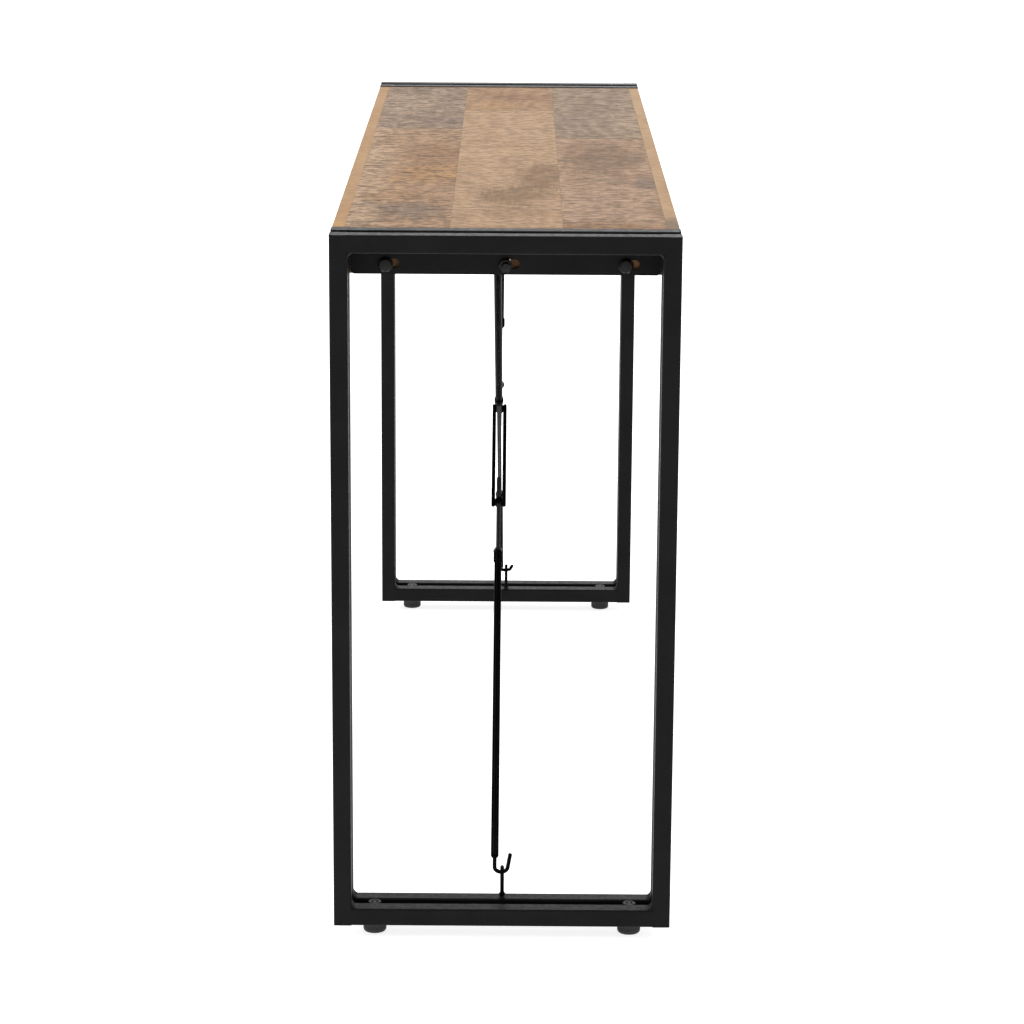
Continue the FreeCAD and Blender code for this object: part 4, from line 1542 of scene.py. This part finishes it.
@dataclass
class LevellingFoot:
    """Levelling foot: a ribbed nylon pad and a threaded stem.

    Attributes:
        name: End and side of the table, as in the CAD nodes' names.
        ribs: Number of grip ribs round the pad.
    """

    name: str
    ribs: int = 30

    def build(self) -> None:
        """Build the pad and the stem in the boxes of their CAD nodes."""
        low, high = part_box(f"{self.name}_foot_pad")
        place = Matrix.Translation(((low.x + high.x) / 2, (low.y + high.y) / 2, low.z))
        radius, tall = (high.x - low.x) / 2, high.z - low.z
        self._pad(place, radius, tall)
        self._stem(place)

    def _pad(self, place: Matrix, radius: float, tall: float) -> None:
        """Pad with a rounded foot, a ribbed belt and a socket for the stem.

        Args:
            place: Frame on the floor under the pad.
            radius: Radius of the pad.
            tall: Height of the pad.
        """
        steps = self.ribs * 4
        profile = [
            (radius - 0.0030, 0.0, 0.0), (radius - 0.0012, 0.0004, 0.0),
            (radius - 0.0004, 0.0013, 0.0), (radius, 0.0026, 0.0), (radius, 0.0044, 0.0),
            (radius, 0.0050, 0.00045), (radius, tall - 0.0028, 0.00045),
            (radius, tall - 0.0022, 0.0), (radius - 0.0002, tall - 0.0011, 0.0),
            (radius - 0.0010, tall - 0.0003, 0.0), (radius - 0.0020, tall, 0.0),
            (0.0052, tall, 0.0), (0.0042, tall - 0.0009, 0.0), (0.00396, tall - 0.002, 0.0),
            (0.00396, 0.0084, 0.0), (0.0063, 0.0084, 0.0), (0.0063, 0.0050, 0.0),
            (0.0020, 0.0050, 0.0),
        ]
        shell = Shell()
        shell.loft([
            polar(steps, at, lambda step, reach=reach, rib=rib:
                  reach - (rib if step % 4 in (0, 1) else 0.0))
            for reach, at, rib in profile
        ], place)
        shell.piece(f"{self.name}_foot_pad_ribbed", NYLON, f"{self.name}_pad",
                    [f"{self.name}_foot_pad"])

    def _stem(self, place: Matrix) -> None:
        """Swivel head and threaded stem with a driver slot.

        Args:
            place: Frame on the floor under the pad.
        """
        low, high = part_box(f"{self.name}_foot_stem")
        shell = Shell()
        base = low.z
        shell.turn([(0.0056, base), (0.0060, base + 0.0004), (0.0060, base + 0.0026),
                    (0.0056, base + 0.0030), (0.0030, base + 0.0030)], place)
        shell.thread(place, 0.0039, 0.0007, 0.00125, base + 0.0029, high.z - 0.002)
        for sign in (-1, 1):
            half = []
            for station in (high.z - 0.0022, high.z - 0.0005, high.z):
                trim = 0.0005 if station == high.z else 0.0
                ring = []
                for step in range(13):
                    angle = 0.24 + (math.pi - 0.48) * step / 12
                    reach = 0.0032 - trim
                    ring.append(Vector((reach * math.cos(angle), sign * reach * math.sin(angle),
                                        station)))
                half.append(ring if sign > 0 else list(reversed(ring)))
            shell.loft(half, place)
        shell.piece(f"{self.name}_foot_stem_threaded", BLACK_THREAD, f"{self.name}_stem",
                    [f"{self.name}_foot_stem"])


# ----------------------------------------------------------------- studio


@dataclass
class Studio:
    """Pale floor, soft lights and the camera.

    Attributes:
        eye: Where the camera stands.
        pitch: How far it looks down, in degrees.
        yaw: How far it looks to the left, in degrees.
        roll: How far it leans, in degrees.
        lens: Focal length in millimetres on a 36 mm sensor.
        floor_half: Half the side of the floor.
        floor_glow: Light that comes up through the paper, which thins the shadows.
    """

    eye: tuple[float, float, float] = (0.0086, -3.9004, 1.2997)
    pitch: float = 14.309
    yaw: float = 0.008
    roll: float = 0.373
    lens: float = 113.41
    floor_half: float = 150.0
    floor_glow: float = 0.8

    def build(self) -> None:
        """Set up camera, floor, sky and lights."""
        self._camera()
        self._floor()
        self._sky()
        self._light("overhead", (-0.4, 0.2, 3.2), (0, 0, 0.5), 3.0, 42.0)
        self._light("left_fill", (-3.2, -0.6, 1.6), (0, 0, 0.5), 2.2, 24.0)
        self._light("back_rim", (0.8, 4.0, 2.2), (0, 0, 0.6), 3.0, 40.0)
        bpy.context.scene.view_settings.view_transform = "Standard"

    def _camera(self) -> None:
        """Place the camera from its pitch, yaw and roll."""
        pitch, yaw = math.radians(self.pitch), math.radians(self.yaw)
        flat = Vector((-math.sin(yaw), math.cos(yaw), 0))
        ahead = flat * math.cos(pitch) - Vector((0, 0, math.sin(pitch)))
        right = Vector((math.cos(yaw), math.sin(yaw), 0))
        up = right.cross(ahead)
        turn = Matrix((right, up, -ahead)).transposed().to_4x4()
        lens = bpy.data.cameras.new("camera")
        lens.lens = self.lens
        lens.sensor_width = 36.0
        lens.clip_end = 400.0
        camera = bpy.data.objects.new("camera", lens)
        camera.matrix_world = (
            Matrix.Translation(self.eye) @ turn @ Matrix.Rotation(math.radians(self.roll), 4, "Z")
        )
        bpy.context.scene.collection.objects.link(camera)
        bpy.context.scene.camera = camera

    def _floor(self) -> None:
        """Large pale floor of matt paper, lit a little from below."""
        half = self.floor_half
        mesh = bpy.data.meshes.new("floor")
        corners = [(-half, -half, 0), (half, -half, 0), (half, half, 0), (-half, half, 0)]
        mesh.from_pydata(corners, [], [(0, 1, 2, 3)])
        floor = bpy.data.objects.new("floor", mesh)
        paper = bpy.data.materials.new("matt_paper")
        paper.use_nodes = True
        tree = paper.node_tree
        place = add_node(tree, "TexCoord").outputs["Object"]
        stops = [(0.3, linear("D6D6D6")), (0.7, linear("DADADA"))]
        fibre = {"Fac": mottle(tree, place, 1 / 60)}
        feed(tree, tree.nodes["Principled BSDF"], {
            "Base Color": add_node(tree, "ValToRGB", fibre, stops=stops).outputs["Color"],
            "Roughness": 0.95,
            "Specular IOR Level": 0.0,
            "Emission Color": (1.0, 1.0, 1.0, 1.0),
            "Emission Strength": self.floor_glow,
        })
        mesh.materials.append(paper)
        bpy.context.scene.collection.objects.link(floor)

    def _sky(self) -> None:
        """White surroundings that are dimmer towards the camera's side."""
        world = bpy.data.worlds.new("studio")
        world.use_nodes = True
        tree = world.node_tree
        way = add_node(tree, "TexCoord").outputs["Generated"]
        parts = add_node(tree, "SeparateXYZ", {0: way}).outputs
        lean = calculate(tree, "MULTIPLY_ADD", parts["Y"], 0.8, parts["Z"])
        strength = remap(tree, lean, -0.8, 0.7, 0.1, 1.15)
        background = tree.nodes["Background"]
        feed(tree, background, {"Color": (1.0, 1.0, 1.0, 1.0), "Strength": strength})
        bpy.context.scene.world = world

    @staticmethod
    def _light(
        name: str, place: tuple[float, float, float], target: tuple[float, float, float],
        size: float, power: float,
    ) -> None:
        """Add a square soft light that faces a point.

        Args:
            name: Name of the light.
            place: Where it hangs.
            target: Point that it faces.
            size: Side of the light.
            power: Power in watts.
        """
        lamp = bpy.data.lights.new(name, "AREA")
        lamp.size = size
        lamp.energy = power
        light = bpy.data.objects.new(name, lamp)
        light.location = place
        light.rotation_euler = (Vector(target) - Vector(place)).to_track_quat("-Z", "Y").to_euler()
        bpy.context.scene.collection.objects.link(light)


def main() -> None:
    """Build the whole scene in order."""
    logging.basicConfig(level=logging.INFO, format="%(name)s: %(message)s")
    Studio().build()
    WoodenTop().build()
    for end in End:
        EndFrame(end).build()
    GroundJoints().build()
    WeldBeads().build()
    Fasteners().build()
    TieRods().build()
    for end in End:
        for side in Side:
            LevellingFoot(f"{end.name.lower()}_{side.name.lower()}").build()


if __name__ == "__main__":
    main()
